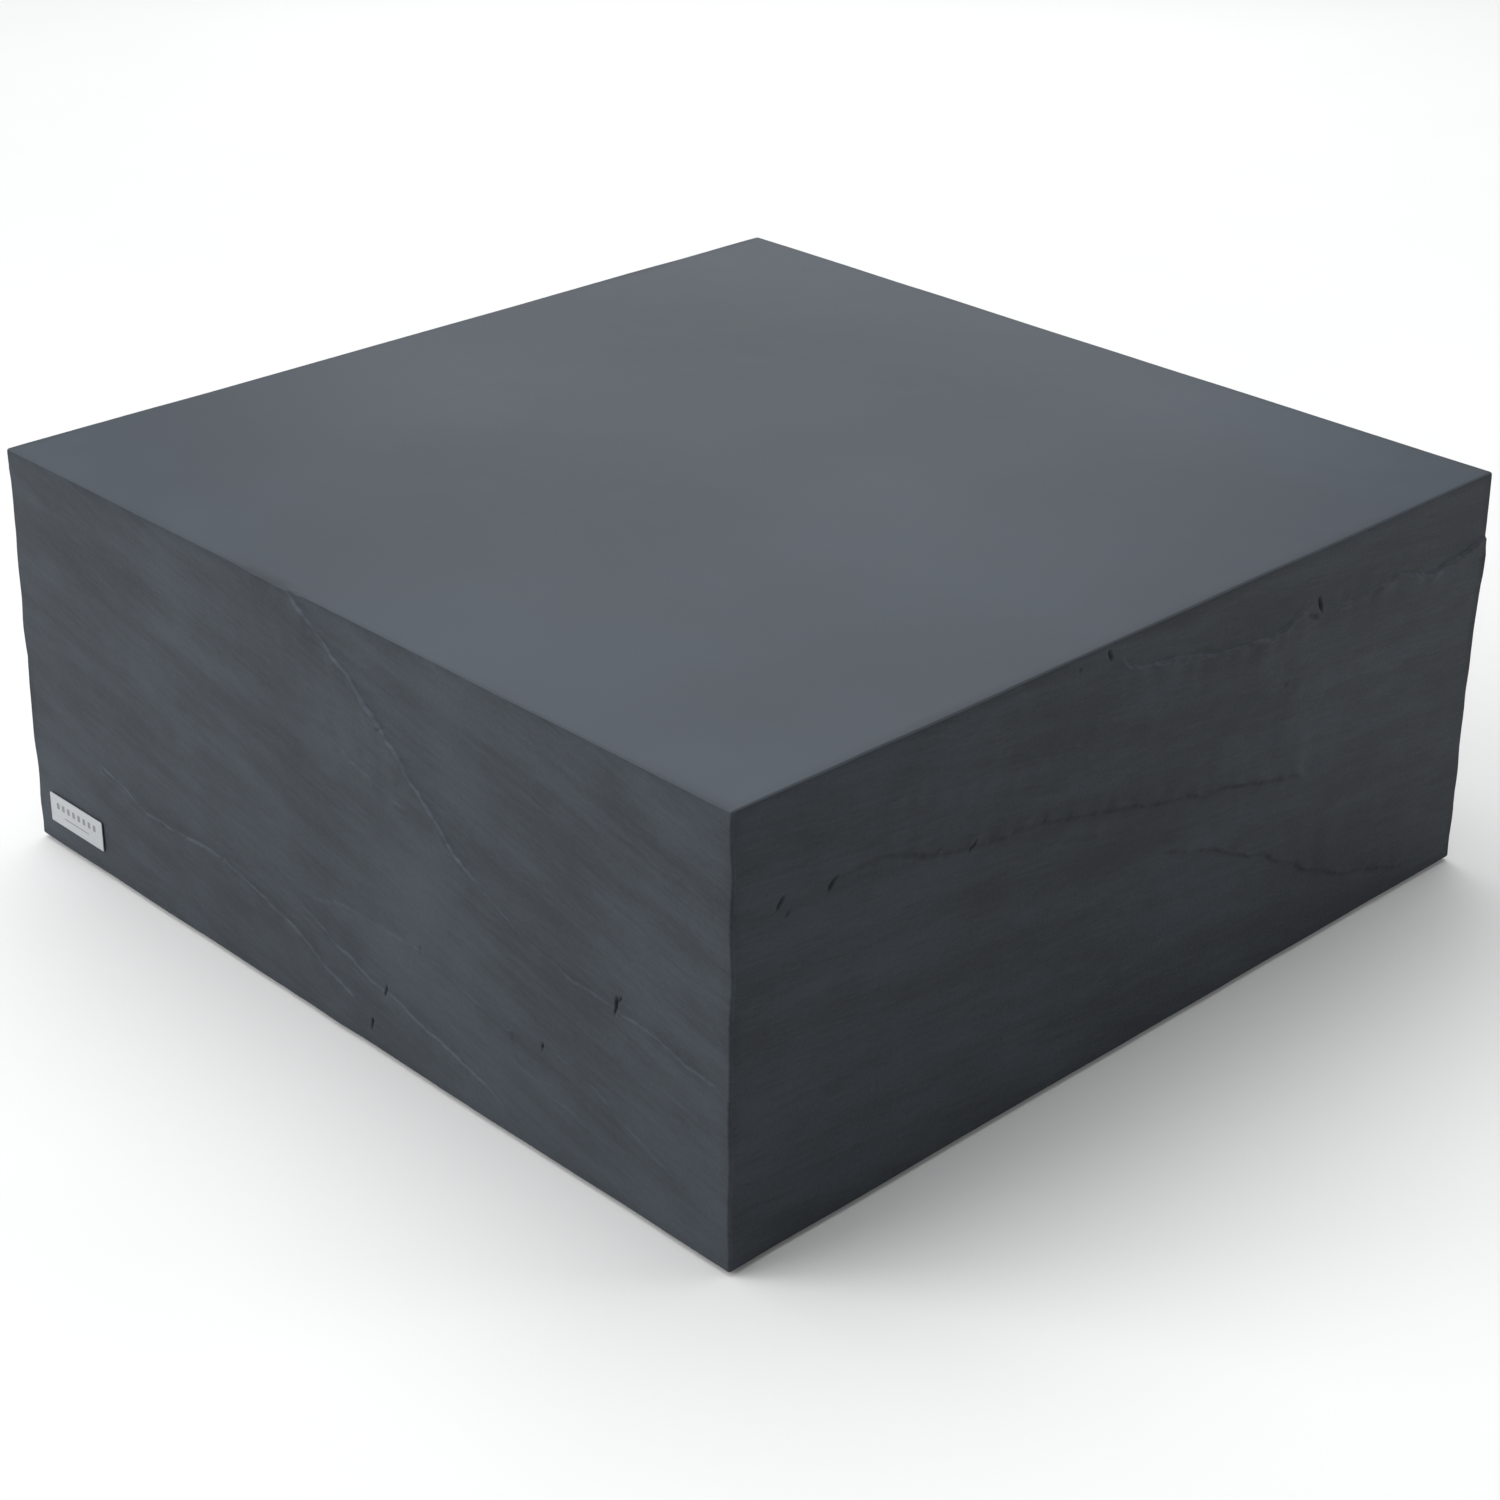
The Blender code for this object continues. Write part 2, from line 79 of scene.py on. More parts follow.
# Each side: its outward normal, the direction that runs right along it, the degrees that the grain
# dips to the right, its own noise, its ledges and its nicks. Places are (along the side, height).
# A ledge is (rise, side that stands proud, how soon that side falls back, path from left to right).
# A nick is (place, half width, half height, lean in degrees, depth).
SIDES = {
    "front": {
        "out": Vector((0, -1, 0)),
        "right": Vector((1, 0, 0)),
        "dip": 12,
        "seed": 11,
        "ledges": [
            (0.0030, UP_SHELF, 0.10,
             [(-0.12, 0.482), (0.03, 0.39), (0.10, 0.335), (0.175, 0.268), (0.22, 0.242)]),
            (0.0014, UP_SHELF, 0.08,
             [(0.20, 0.25), (0.265, 0.225), (0.335, 0.208), (0.445, 0.198), (0.58, 0.165)]),
            (0.0011, UP_SHELF, 0.03, [(-0.03, 0.327), (0.055, 0.296), (0.15, 0.277)]),
            (0.0010, OVERHANG, 0.03, [(-0.025, 0.335), (0.08, 0.306), (0.16, 0.278)]),
            (0.0018, UP_SHELF, 0.06,
             [(-0.43, 0.145), (-0.32, 0.11), (-0.19, 0.112), (-0.07, 0.082), (0.015, 0.047),
              (0.045, 0.03)]),
            (0.0017, UP_SHELF, 0.05,
             [(-0.085, 0.126), (0.0, 0.094), (0.11, 0.067), (0.2, 0.047), (0.26, 0.018)]),
            (0.0010, UP_SHELF, 0.05,
             [(-0.056, 0.123), (0.0, 0.142), (0.126, 0.145), (0.25, 0.115), (0.262, 0.085),
              (0.39, 0.054)]),
            (0.0011, UP_SHELF, 0.04, [(0.29, 0.12), (0.35, 0.115), (0.415, 0.086), (0.5, 0.056)]),
            (0.0006, UP_SHELF, 0.06, [(-0.36, 0.243), (-0.28, 0.224), (-0.2, 0.213)]),
            (0.0006, OVERHANG, 0.06, [(-0.31, 0.231), (-0.2, 0.2), (-0.11, 0.177)]),
            (0.0006, UP_SHELF, 0.08, [(-0.59, 0.44), (-0.44, 0.403), (-0.39, 0.394)]),
        ],
        "nicks": [
            ((0.393, 0.207), 0.0024, 0.013, 6, 0.005),
            ((0.398, 0.214), 0.0016, 0.007, 30, 0.003),
            ((0.071, 0.077), 0.0017, 0.009, 8, 0.0035),
            ((0.047, 0.030), 0.0018, 0.010, 8, 0.004),
            ((0.077, 0.352), 0.0060, 0.0022, -25, 0.0016),
            ((-0.252, 0.112), 0.0050, 0.0020, -20, 0.0012),
            ((-0.189, 0.112), 0.0050, 0.0022, -25, 0.0012),
            ((0.126, 0.146), 0.0020, 0.0060, 12, 0.0012),
            ((0.295, 0.120), 0.0018, 0.0065, 12, 0.0028),
        ],
    },
    "right": {
        "out": Vector((1, 0, 0)),
        "right": Vector((0, 1, 0)),
        "dip": 7,
        "seed": 23,
        "ledges": [
            (0.0028, OVERHANG, 0.09,
             [(-0.465, 0.343), (-0.355, 0.340), (-0.27, 0.312), (-0.13, 0.294), (0.0, 0.26),
              (0.15, 0.228), (0.26, 0.2)]),
            (0.0020, OVERHANG, 0.07,
             [(0.01, 0.206), (0.11, 0.172), (0.2, 0.13), (0.31, 0.068), (0.46, 0.023)]),
            (0.0012, OVERHANG, 0.05, [(-0.17, 0.278), (-0.045, 0.248), (0.01, 0.226)]),
            (0.0032, UP_SHELF, 0.05,
             [(-0.065, 0.434), (-0.04, 0.414), (0.08, 0.388), (0.17, 0.376), (0.242, 0.396)]),
            (0.0034, UP_SHELF, 0.05,
             [(0.25, 0.378), (0.31, 0.373), (0.375, 0.38), (0.435, 0.362), (0.59, 0.38)]),
            (0.0008, UP_SHELF, 0.03, [(0.245, 0.404), (0.295, 0.401), (0.375, 0.39)]),
            (0.0010, UP_SHELF, 0.04,
             [(-0.38, 0.395), (-0.26, 0.372), (-0.165, 0.367), (-0.10, 0.359), (-0.08, 0.378)]),
            (0.0010, UP_SHELF, 0.02, [(0.195, 0.308), (0.24, 0.305)]),
        ],
        "nicks": [
            ((0.247, 0.387), 0.0030, 0.013, -18, 0.0045),
            ((0.236, 0.378), 0.0040, 0.018, -65, 0.003),
            ((-0.069, 0.434), 0.0034, 0.0090, -20, 0.0035),
            ((-0.110, 0.433), 0.0050, 0.0030, 0, 0.0015),
            ((-0.476, 0.343), 0.0022, 0.0110, 42, 0.003),
            ((-0.468, 0.330), 0.0020, 0.0070, 60, 0.002),
            ((-0.4165, 0.338), 0.0026, 0.0130, 38, 0.0035),
            ((-0.290, 0.322), 0.0018, 0.0070, 50, 0.0015),
            ((-0.245, 0.310), 0.0022, 0.0110, 35, 0.003),
            ((-0.150, 0.300), 0.0016, 0.0070, 45, 0.0015),
            ((0.200, 0.318), 0.0080, 0.0030, 10, 0.0012),
        ],
    },
    "back": {
        "out": Vector((0, 1, 0)),
        "right": Vector((-1, 0, 0)),
        "dip": 9,
        "seed": 37,
        "ledges": [
            (0.0019, UP_SHELF, 0.09,
             [(-0.59, 0.37), (-0.38, 0.33), (-0.2, 0.27), (-0.05, 0.245), (0.1, 0.19)]),
            (0.0014, OVERHANG, 0.07,
             [(-0.25, 0.16), (-0.1, 0.135), (0.07, 0.11), (0.2, 0.06), (0.3, 0.04)]),
            (0.0013, UP_SHELF, 0.05,
             [(0.05, 0.40), (0.17, 0.37), (0.3, 0.36), (0.42, 0.325), (0.59, 0.30)]),
            (0.0010, UP_SHELF, 0.05, [(0.22, 0.21), (0.33, 0.195), (0.45, 0.15)]),
            (0.0008, OVERHANG, 0.05, [(-0.48, 0.12), (-0.4, 0.1), (-0.31, 0.09)]),
        ],
        "nicks": [
            ((-0.2, 0.268), 0.0028, 0.012, 10, 0.005),
            ((0.30, 0.358), 0.0026, 0.010, -20, 0.004),
            ((0.07, 0.108), 0.0045, 0.0040, 0, 0.003),
            ((-0.38, 0.33), 0.0040, 0.0040, 0, 0.003),
        ],
    },
    "left": {
        "out": Vector((-1, 0, 0)),
        "right": Vector((0, -1, 0)),
        "dip": 8,
        "seed": 53,
        "ledges": [
            (0.0019, OVERHANG, 0.09,
             [(-0.42, 0.26), (-0.3, 0.235), (-0.14, 0.22), (0.02, 0.17), (0.16, 0.15)]),
            (0.0028, UP_SHELF, 0.09,
             [(-0.1, 0.38), (0.03, 0.335), (0.18, 0.30), (0.35, 0.25), (0.59, 0.19)]),
            (0.0011, UP_SHELF, 0.05, [(-0.5, 0.12), (-0.38, 0.1), (-0.22, 0.095), (-0.12, 0.06)]),
            (0.0010, UP_SHELF, 0.04, [(0.15, 0.08), (0.27, 0.07), (0.4, 0.035)]),
            (0.0008, OVERHANG, 0.05, [(-0.46, 0.385), (-0.36, 0.37), (-0.27, 0.345)]),
        ],
        "nicks": [
            ((0.02, 0.168), 0.0028, 0.012, 8, 0.005),
            ((0.35, 0.298), 0.0026, 0.011, -15, 0.004),
            ((-0.38, 0.100), 0.0045, 0.0040, 0, 0.003),
            ((-0.14, 0.22), 0.0040, 0.0035, 0, 0.003),
        ],
    },
}


def start_piece(name, add_primitive, **settings):
    """A new primitive, opened in edit mode with nothing selected."""
    bpy.ops.object.select_all(action="DESELECT")
    add_primitive(**settings)
    piece = bpy.context.object
    piece.name = name
    piece.data.name = name
    bpy.ops.object.transform_apply(location=True, rotation=True, scale=True)
    bpy.ops.object.mode_set(mode="EDIT")
    bpy.ops.mesh.select_all(action="DESELECT")
    return piece


def start_block(name, middle, size):
    """A box of this size about its middle, opened in edit mode."""
    return start_piece(name, bpy.ops.mesh.primitive_cube_add, size=1, location=middle, scale=size)


def pick(piece, kind, rule):
    """Selects the faces, edges or vertices of the piece in edit mode that the rule holds for."""
    bpy.ops.mesh.select_mode(type=kind)
    bpy.ops.mesh.select_all(action="DESELECT")
    shape = bmesh.from_edit_mesh(piece.data)
    for part in {"FACE": shape.faces, "EDGE": shape.edges, "VERT": shape.verts}[kind]:
        if rule(part):
            part.select_set(True)
    shape.select_flush_mode()
    bmesh.update_edit_mesh(piece.data)


def runs_along(edge, axis, at_least):
    """True for an edge that mainly follows this axis, 0, 1 or 2, and is at least this long."""
    span = edge.verts[1].co - edge.verts[0].co
    return abs(span[axis]) > 0.9 * span.length and span.length > at_least


def finish_edit(piece):
    """Closes edit mode with the faces turned outwards."""
    bpy.ops.mesh.select_all(action="SELECT")
    bpy.ops.mesh.normals_make_consistent(inside=False)
    bpy.ops.object.mode_set(mode="OBJECT")
    return piece


def select_only(piece):
    """Makes the piece the active one, with nothing else selected."""
    bpy.ops.object.select_all(action="DESELECT")
    piece.select_set(True)
    bpy.context.view_layer.objects.active = piece


def apply_modifier(piece, kind, **settings):
    """Adds one modifier to the piece and applies it."""
    select_only(piece)
    bpy.ops.object.modifier_add(type=kind)
    modifier = piece.modifiers[-1]
    for key, value in settings.items():
        setattr(modifier, key, value)
    bpy.ops.object.modifier_apply(modifier=modifier.name)


def smooth(piece, angle=35):
    """Shades the piece smooth, apart from its edges sharper than this angle."""
    select_only(piece)
    bpy.ops.object.shade_smooth_by_angle(angle=math.radians(angle))


def carve(piece, cutter, operation="DIFFERENCE"):
    """Cuts the cutter out of the piece, joins it on, or keeps what both fill. Then it is gone."""
    apply_modifier(piece, "BOOLEAN", operation=operation, object=cutter, solver="EXACT")
    bpy.data.objects.remove(cutter)


def smoothstep(value):
    """0 below 0, 1 above 1, and an S curve between."""
    inside = np.clip(value, 0, 1)
    return inside * inside * (3 - 2 * inside)


def measured(places, members, side):
    """Where these of the places lie on a side: how far along it, and how high."""
    along = np.array([places[i].dot(side["right"]) for i in members])
    height = np.array([places[i].z for i in members])
    return along, height


def noise_at(along, height, size, seed):
    """Smooth noise from -1 to 1 over a side, with patches about this size (along, height)."""
    points = zip(along / size[0], height / size[1])
    return np.array([noise.noise(Vector((a, b, seed))) for a, b in points])


def distance_to(path, along, height, wobble):
    """Signed distance to a ledge's path, above it positive, and a share that fades at its ends."""
    nearest = np.full(len(along), np.inf)
    signed = np.zeros(len(along))
    travel = np.zeros(len(along))
    done = 0.0
    for (u0, z0), (u1, z1) in zip(path, path[1:]):
        length = math.hypot(u1 - u0, z1 - z0)
        tu, tz = (u1 - u0) / length, (z1 - z0) / length
        t = np.clip((along - u0) * tu + (height - z0) * tz, 0, length)
        du, dz = along - u0 - t * tu, height - z0 - t * tz
        distance = np.hypot(du, dz)
        closer = distance < nearest
        above = np.where(tu * dz - tz * du >= 0, 1.0, -1.0)
        nearest = np.where(closer, distance, nearest)
        signed = np.where(closer, above * distance, signed)
        travel = np.where(closer, done + t, travel)
        done += length
    fade_length = min(LEDGE_FADE, done / 3)
    share = smoothstep(travel / fade_length) * smoothstep((done - travel) / fade_length)
    return signed + wobble, share


def nick_reach(nick, along, height):
    """How far inside a nick each point lies: 1 at its middle, 0 at its edge, below 0 outside."""
    (u, z), half_width, half_height, lean, _ = nick
    c, s = math.cos(math.radians(lean)), math.sin(math.radians(lean))
    across = ((along - u) * c - (height - z) * s) / half_width
    upright = ((along - u) * s + (height - z) * c) / half_height
    return 1 - np.hypot(across, upright)


def path_wobble(side, along, height):
    """How far the broken stone strays from a ledge's path."""
    wide = noise_at(along, height, (0.035, 0.035), side["seed"])
    fine = noise_at(along, height, (0.009, 0.009), side["seed"] + 1)
    return 0.004 * wide + 0.0015 * fine


def ledge_strength(side, along, height):
    """How much of its full rise a ledge has from place to place, from half up to the whole."""
    patches = noise_at(along, height, (0.024, 0.024), side["seed"] + 9)
    return 0.5 + 0.5 * smoothstep(0.6 + patches)


def near_relief(side, along, height, band):
    """Which points lie within this band of a ledge or nick of the side."""
    wobble = path_wobble(side, along, height)
    near = np.zeros(len(along), bool)
    for *_, path in side["ledges"]:
        signed, share = distance_to(path, along, height, wobble)
        near |= (np.abs(signed) < band) & (share > LEDGE_SHARE_LEAST)
    for middle, half_width, half_height, lean, depth in side["nicks"]:
        grown = (middle, half_width + band, half_height + band, lean, depth)
        near |= nick_reach(grown, along, height) > 0
    return near


def side_relief(side, along, height):
    """How far the side's skin stands out of the flat at each point: swells, ledges and nicks."""
    seed = side["seed"]
    grain_height = height + along * math.tan(math.radians(side["dip"]))
    broad = noise_at(along, height, (0.30, 0.16), seed + 2)
    small = noise_at(along, height, (0.11, 0.07), seed + 3)
    grain = noise_at(along, grain_height, (0.16, 0.035), seed + 4)
    top_waves = noise_at(along, height, (0.13, 0.30), seed + 5)
    end_waves = noise_at(along, height, (0.30, 0.045), seed + 6)
    lumps = noise_at(along, grain_height, (0.040, 0.016), seed + 7)
    splinters = noise_at(along, grain_height, (0.016, 0.007), seed + 8)

    # Swells all over, and more of them near the top and the ends
    near_top = smoothstep(1 - (TOP - height) / SPLIT_EDGE)
    near_end = smoothstep((np.abs(along) - HALF_TOP + SPLIT_EDGE) / SPLIT_EDGE)
    relief = 0.0011 * broad + 0.0006 * small + 0.0005 * grain
    relief += 0.0014 * near_top * top_waves
    relief += 0.0016 * near_end * end_waves

    # Ledges, with rough stone along their lines, and nicks
    wobble = path_wobble(side, along, height)
    strength = ledge_strength(side, along, height)
    for rise, proud, fall, path in side["ledges"]:
        signed, share = distance_to(path, along, height, wobble)
        share = share * strength
        proud_side = signed * proud
        step = smoothstep(proud_side / LEDGE_RUN[proud] + 0.5)
        step = step * np.exp(-np.maximum(proud_side, 0) / fall)
        relief += rise * share * step
        broken = share * np.exp(-np.abs(signed) / BROKEN_REACH)
        relief += rise * broken * (0.50 * lumps + 0.30 * splinters)
    for nick in side["nicks"]:
        reach = nick_reach(nick, along + wobble * 0.5, height)
        relief -= nick[-1] * smoothstep(reach) * (0.8 + 0.4 * splinters)
    return relief - SKIN_SETBACK


def outline_at(height):
    """Half the casting's width at this height."""
    return HALF_RIM - (height - RIM) * DRAFT


def side_of(point, reach=ARRIS_RADIUS / 2):
    """The name of the side that a point lies within this reach of, or None for any other point."""
    outline = outline_at(point.z)
    for name, side in SIDES.items():
        if point.dot(side["out"]) > outline - reach:
            return name
    return None


cast_shell = start_block(
    "cast_stone_shell",
    middle=(0, 0, (RIM + TOP) / 2),
    size=(2 * HALF_RIM, 2 * HALF_RIM, TOP - RIM),
)
pick(cast_shell, "FACE", lambda face: face.normal.z > 0.9)
bpy.ops.transform.resize(value=(HALF_TOP / HALF_RIM, HALF_TOP / HALF_RIM, 1))
bpy.ops.mesh.select_all(action="SELECT")
bpy.ops.mesh.bevel(offset=ARRIS_RADIUS, segments=3, affect="EDGES")
pick(cast_shell, "FACE", lambda face: face.normal.z < -0.99)
bpy.ops.mesh.delete(type="ONLY_FACE")
for axis, length in ((2, TOP - RIM), (0, 2 * HALF_RIM), (1, 2 * HALF_RIM)):
    pick(cast_shell, "EDGE", lambda edge: runs_along(edge, axis, at_least=length / 2))
    bpy.ops.mesh.subdivide(number_cuts=round(length / SKIN_STEP) - 1)

for band in LEDGE_BANDS:
    shape = bmesh.from_edit_mesh(cast_shell.data)
    shape.faces.index_update()
    centres = [face.calc_center_median() for face in shape.faces]
    chosen = set()
    for name, side in SIDES.items():
        members = [i for i, centre in enumerate(centres) if side_of(centre) == name]
        near = near_relief(side, *measured(centres, members, side), band)
        chosen.update(i for i, close in zip(members, near) if close)
    pick(cast_shell, "FACE", lambda face: face.index in chosen and len(face.verts) == 4)
    bpy.ops.mesh.subdivide(number_cuts=1)

# The rim's ring of edges closes the block underneath
pick(cast_shell, "EDGE", lambda edge: edge.is_boundary)
bpy.ops.mesh.edge_face_add()
finish_edit(cast_shell)

# The relief: each point of the skin moves out or in, and at an arris with both of its sides
plate_low, plate_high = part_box("name_plate")
PLATE_MARGIN = 0.014  # flat stone round the name plate
SIDE_REACH = 0.012  # how far round an arris a side's relief carries
TOP_PATCHES = 4  # swells of the top to the metre
skin = cast_shell.data
places = [vertex.co.copy() for vertex in skin.vertices]
outlines = outline_at(np.array([place.z for place in places]))
moved = np.zeros((len(places), 3))
for name, side in SIDES.items():
    depth = outlines - np.array([place.dot(side["out"]) for place in places])
    members = np.flatnonzero(depth < ARRIS_RADIUS + SIDE_REACH)
    along, height = measured(places, members, side)
    relief = side_relief(side, along, height)
    if name == "front":
        clear_x = np.maximum(plate_low.x - along, along - plate_high.x)
        clear_z = np.maximum(plate_low.z - height, height - plate_high.z)
        relief *= smoothstep(np.maximum(clear_x, clear_z) / PLATE_MARGIN)
    relief *= 1 - smoothstep((depth[members] - ARRIS_RADIUS) / SIDE_REACH)
    moved[members] += relief[:, None] * np.array(side["out"])
for vertex, place, shift in zip(skin.vertices, places, moved):
    on_top = smoothstep((place.z - TOP + ARRIS_RADIUS) / ARRIS_RADIUS)
    swell = TOP_SWELL * noise.noise(place * TOP_PATCHES) * on_top
    vertex.co = place + Vector(shift) + Vector((0, 0, swell))

# The core, with its coves, ribs, blocks and the holes for the inserts, is cut out of the block
WALL = 0.015
TOP_THICKNESS = 0.018
COVE_RADIUS = 0.014
RIB_WIDTH = 0.024
RIB_DEPTH = 0.038
RIB_EDGE = 0.003
BLOCK_WIDTH = 0.095
BLOCK_EDGE = 0.002
INSERT_HOLE = 0.0084
STUD_HOLE = 0.0053
STUD_ROOM = 0.004  # air over the stud's end
BLOCK_COVER = 0.010  # stone over that air
SEAT_GAP = 0.0003
FLANGE_THICKNESS = 0.0015
CUT_PAST = 0.01  # how far a cutter passes the face that it opens
insert_low, insert_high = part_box("insert_front_left")
stud_low, stud_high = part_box("foot_stud_front_left")
BLOCK_LOW = insert_low.z + FLANGE_THICKNESS + SEAT_GAP
HOLE_HIGH = stud_high.z + STUD_ROOM
BLOCK_HIGH = HOLE_HIGH + BLOCK_COVER
CORE_LOW = RIM - CUT_PAST
CAVITY_TOP = TOP - TOP_THICKNESS
FOOT_REACH = HALF_RIM - WALL - BLOCK_WIDTH / 2
CORNERS = {
    "front_left": (-1, -1),
    "front_right": (1, -1),
    "back_left": (-1, 1),
    "back_right": (1, 1),
}


def box_cutter(low, high, radius):
    """A box between two corners with its edges rounded."""
    low, high = Vector(low), Vector(high)
    box = start_block("cutter", middle=(low + high) / 2, size=high - low)
    bpy.ops.mesh.select_all(action="SELECT")
    bpy.ops.mesh.bevel(offset=radius, segments=3, affect="EDGES")
    return finish_edit(box)


core_half = HALF_RIM - WALL
core = start_block(
    "core",
    middle=(0, 0, (CORE_LOW + CAVITY_TOP) / 2),
    size=(2 * core_half, 2 * core_half, CAVITY_TOP - CORE_LOW),
)
core_lean = 1 - (CAVITY_TOP - RIM) * DRAFT / core_half
pick(core, "FACE", lambda face: face.normal.z > 0.9)
bpy.ops.transform.resize(value=(core_lean, core_lean, 1))
bpy.ops.mesh.select_all(action="SELECT")
bpy.ops.mesh.bevel(offset=COVE_RADIUS, segments=6, affect="EDGES")
finish_edit(core)
for half_x, half_y in ((HALF_RIM, RIB_WIDTH / 2), (RIB_WIDTH / 2, HALF_RIM)):
    low = (-half_x, -half_y, CAVITY_TOP - RIB_DEPTH)
    carve(core, box_cutter(low, (half_x, half_y, TOP), RIB_EDGE))
for side_x, side_y in CORNERS.values():
    near, far = core_half - BLOCK_WIDTH, HALF_RIM + 2 * CUT_PAST
    xs = sorted((side_x * near, side_x * far))
    ys = sorted((side_y * near, side_y * far))
    block = box_cutter((xs[0], ys[0], BLOCK_LOW), (xs[1], ys[1], BLOCK_HIGH), BLOCK_EDGE)
    carve(core, block)
for side_x, side_y in CORNERS.values():
    place = Vector((side_x * FOOT_REACH, side_y * FOOT_REACH, 0))
    for radius, low, high in (
        (INSERT_HOLE, BLOCK_LOW - CUT_PAST, insert_high.z + SEAT_GAP),
        (STUD_HOLE, BLOCK_LOW, HOLE_HIGH),
    ):
        hole = start_piece(
            "hole",
            bpy.ops.mesh.primitive_cylinder_add,
            vertices=32,
            radius=radius,
            depth=high - low,
            location=place + Vector((0, 0, (low + high) / 2)),
        )
        carve(core, finish_edit(hole), "UNION")
carve(cast_shell, core)


# Finishes are written as expressions on this small wrapper of a node's socket
class Wire:
    """One socket of a material's nodes. Python's operators on it add Math nodes."""

    def __init__(self, tree, socket):
        self.tree = tree
        self.socket = socket

    def node(self, kind, settings, values, output=0):
        """Adds a node. Its settings come first, then each named socket gets its value or Wire."""
        made = self.tree.nodes.new(kind)
        for key, value in settings.items():
            setattr(made, key, value)
        for key, value in values.items():
            if isinstance(value, Wire):
                self.tree.links.new(value.socket, made.inputs[key])
            else:
                made.inputs[key].default_value = value
        return Wire(self.tree, made.outputs[output])

    def maths(self, operation, first, second):
        """Adds a Math node on two Wires or numbers."""
        return self.node("ShaderNodeMath", {"operation": operation}, {0: first, 1: second})

    def __add__(self, other):
        return self.maths("ADD", self, other)

    def __radd__(self, other):
        return self.maths("ADD", other, self)

    def __sub__(self, other):
        return self.maths("SUBTRACT", self, other)

    def __rsub__(self, other):
        return self.maths("SUBTRACT", other, self)

    def __mul__(self, other):
        return self.maths("MULTIPLY", self, other)

    def __rmul__(self, other):
        return self.maths("MULTIPLY", other, self)

    def ramp(self, low, high, to_low=0.0, to_high=1.0):
        """Maps low..high onto to_low..to_high, held at both ends."""
        return self.node(
            "ShaderNodeMapRange",
            {"interpolation_type": "SMOOTHSTEP"},
            {"Value": self, "From Min": low, "From Max": high, "To Min": to_low, "To Max": to_high},
        )

    def noise(self, scale, detail=2.0, roughness=0.5):
        """Noise from 0 to 1 at these coordinates, with this many patches to the metre."""
        return self.node(
            "ShaderNodeTexNoise",
            {},
            {"Vector": self, "Scale": scale, "Detail": detail, "Roughness": roughness},
        )

    def stretched(self, turn, size):
        """These coordinates turned by three angles and divided by a patch's size each way."""
        return self.node(
            "ShaderNodeMapping",
            {"vector_type": "TEXTURE"},
            {"Vector": self, "Rotation": turn, "Scale": size},
        )

    def attribute(self, name):
        """A value that the mesh carries for each point."""
        return self.node("ShaderNodeAttribute", {"attribute_name": name}, {}, "Fac")

    def tint(self, low_colour, high_colour):
        """A colour between two, by this value."""
        return self.node(
            "ShaderNodeMix",
            {"data_type": "RGBA"},
            {"Factor": self, "A": (*low_colour, 1), "B": (*high_colour, 1)},
            2,
        )

    def shade(self, colour):
        """A colour made lighter or darker by this value."""
        return self.node(
            "ShaderNodeVectorMath", {"operation": "SCALE"}, {"Vector": colour, "Scale": self}
        )


def new_finish(name):
    """A new material, and its object coordinates to work from."""
    material = bpy.data.materials.new(name)
    material.use_nodes = True
    tree = material.node_tree
    coordinates = tree.nodes.new("ShaderNodeTexCoord")
    return material, Wire(tree, coordinates.outputs["Object"])


def set_finish(material, start, height=None, depth=0.0, **values):
    """Sets the shader's sockets, and a bump from a height of 0 to 1 that stands for this depth."""
    shader = material.node_tree.nodes["Principled BSDF"]
    if height is not None:
        values["Normal"] = start.node(
            "ShaderNodeBump", {}, {"Height": height, "Distance": depth, "Strength": 1.0}, "Normal"
        )
    for key, value in values.items():
        socket = shader.inputs[key.replace("_", " ")]
        if isinstance(value, Wire):
            material.node_tree.links.new(value.socket, socket)
        else:
            socket.default_value = value


def refinish(piece, *finishes):
    """Gives the piece these finishes and no others."""
    piece.data.materials.clear()
    for finish in finishes:
        piece.data.materials.append(finish)


SLATE_DARK = (0.0315, 0.0375, 0.0450)
SLATE_LIGHT = (0.0525, 0.0622, 0.0742)
TOP_DARK = (0.044, 0.055, 0.068)
TOP_LIGHT = (0.052, 0.065, 0.080)
INSIDE_DARK = (0.075, 0.083, 0.092)
INSIDE_LIGHT = (0.125, 0.134, 0.143)
LEDGE_PAINTED_LIGHT_FULL = 0.0020  # a ledge that rises this much gets its painted highlight or painted shade in full
LEDGE_PAINTED_LIGHT_REACH = {UP_SHELF: 0.0022, OVERHANG: 0.0060}  # how far to each side of a ledge the painted highlight or painted shade reaches
NICK_PAINTED_SHADE_FULL = 0.005  # a nick this deep gets its painted shade in full
ARRIS_PAINTED_SHADE_REACH = 0.0045  # how far from an arris the painted shade and the rougher finish reach
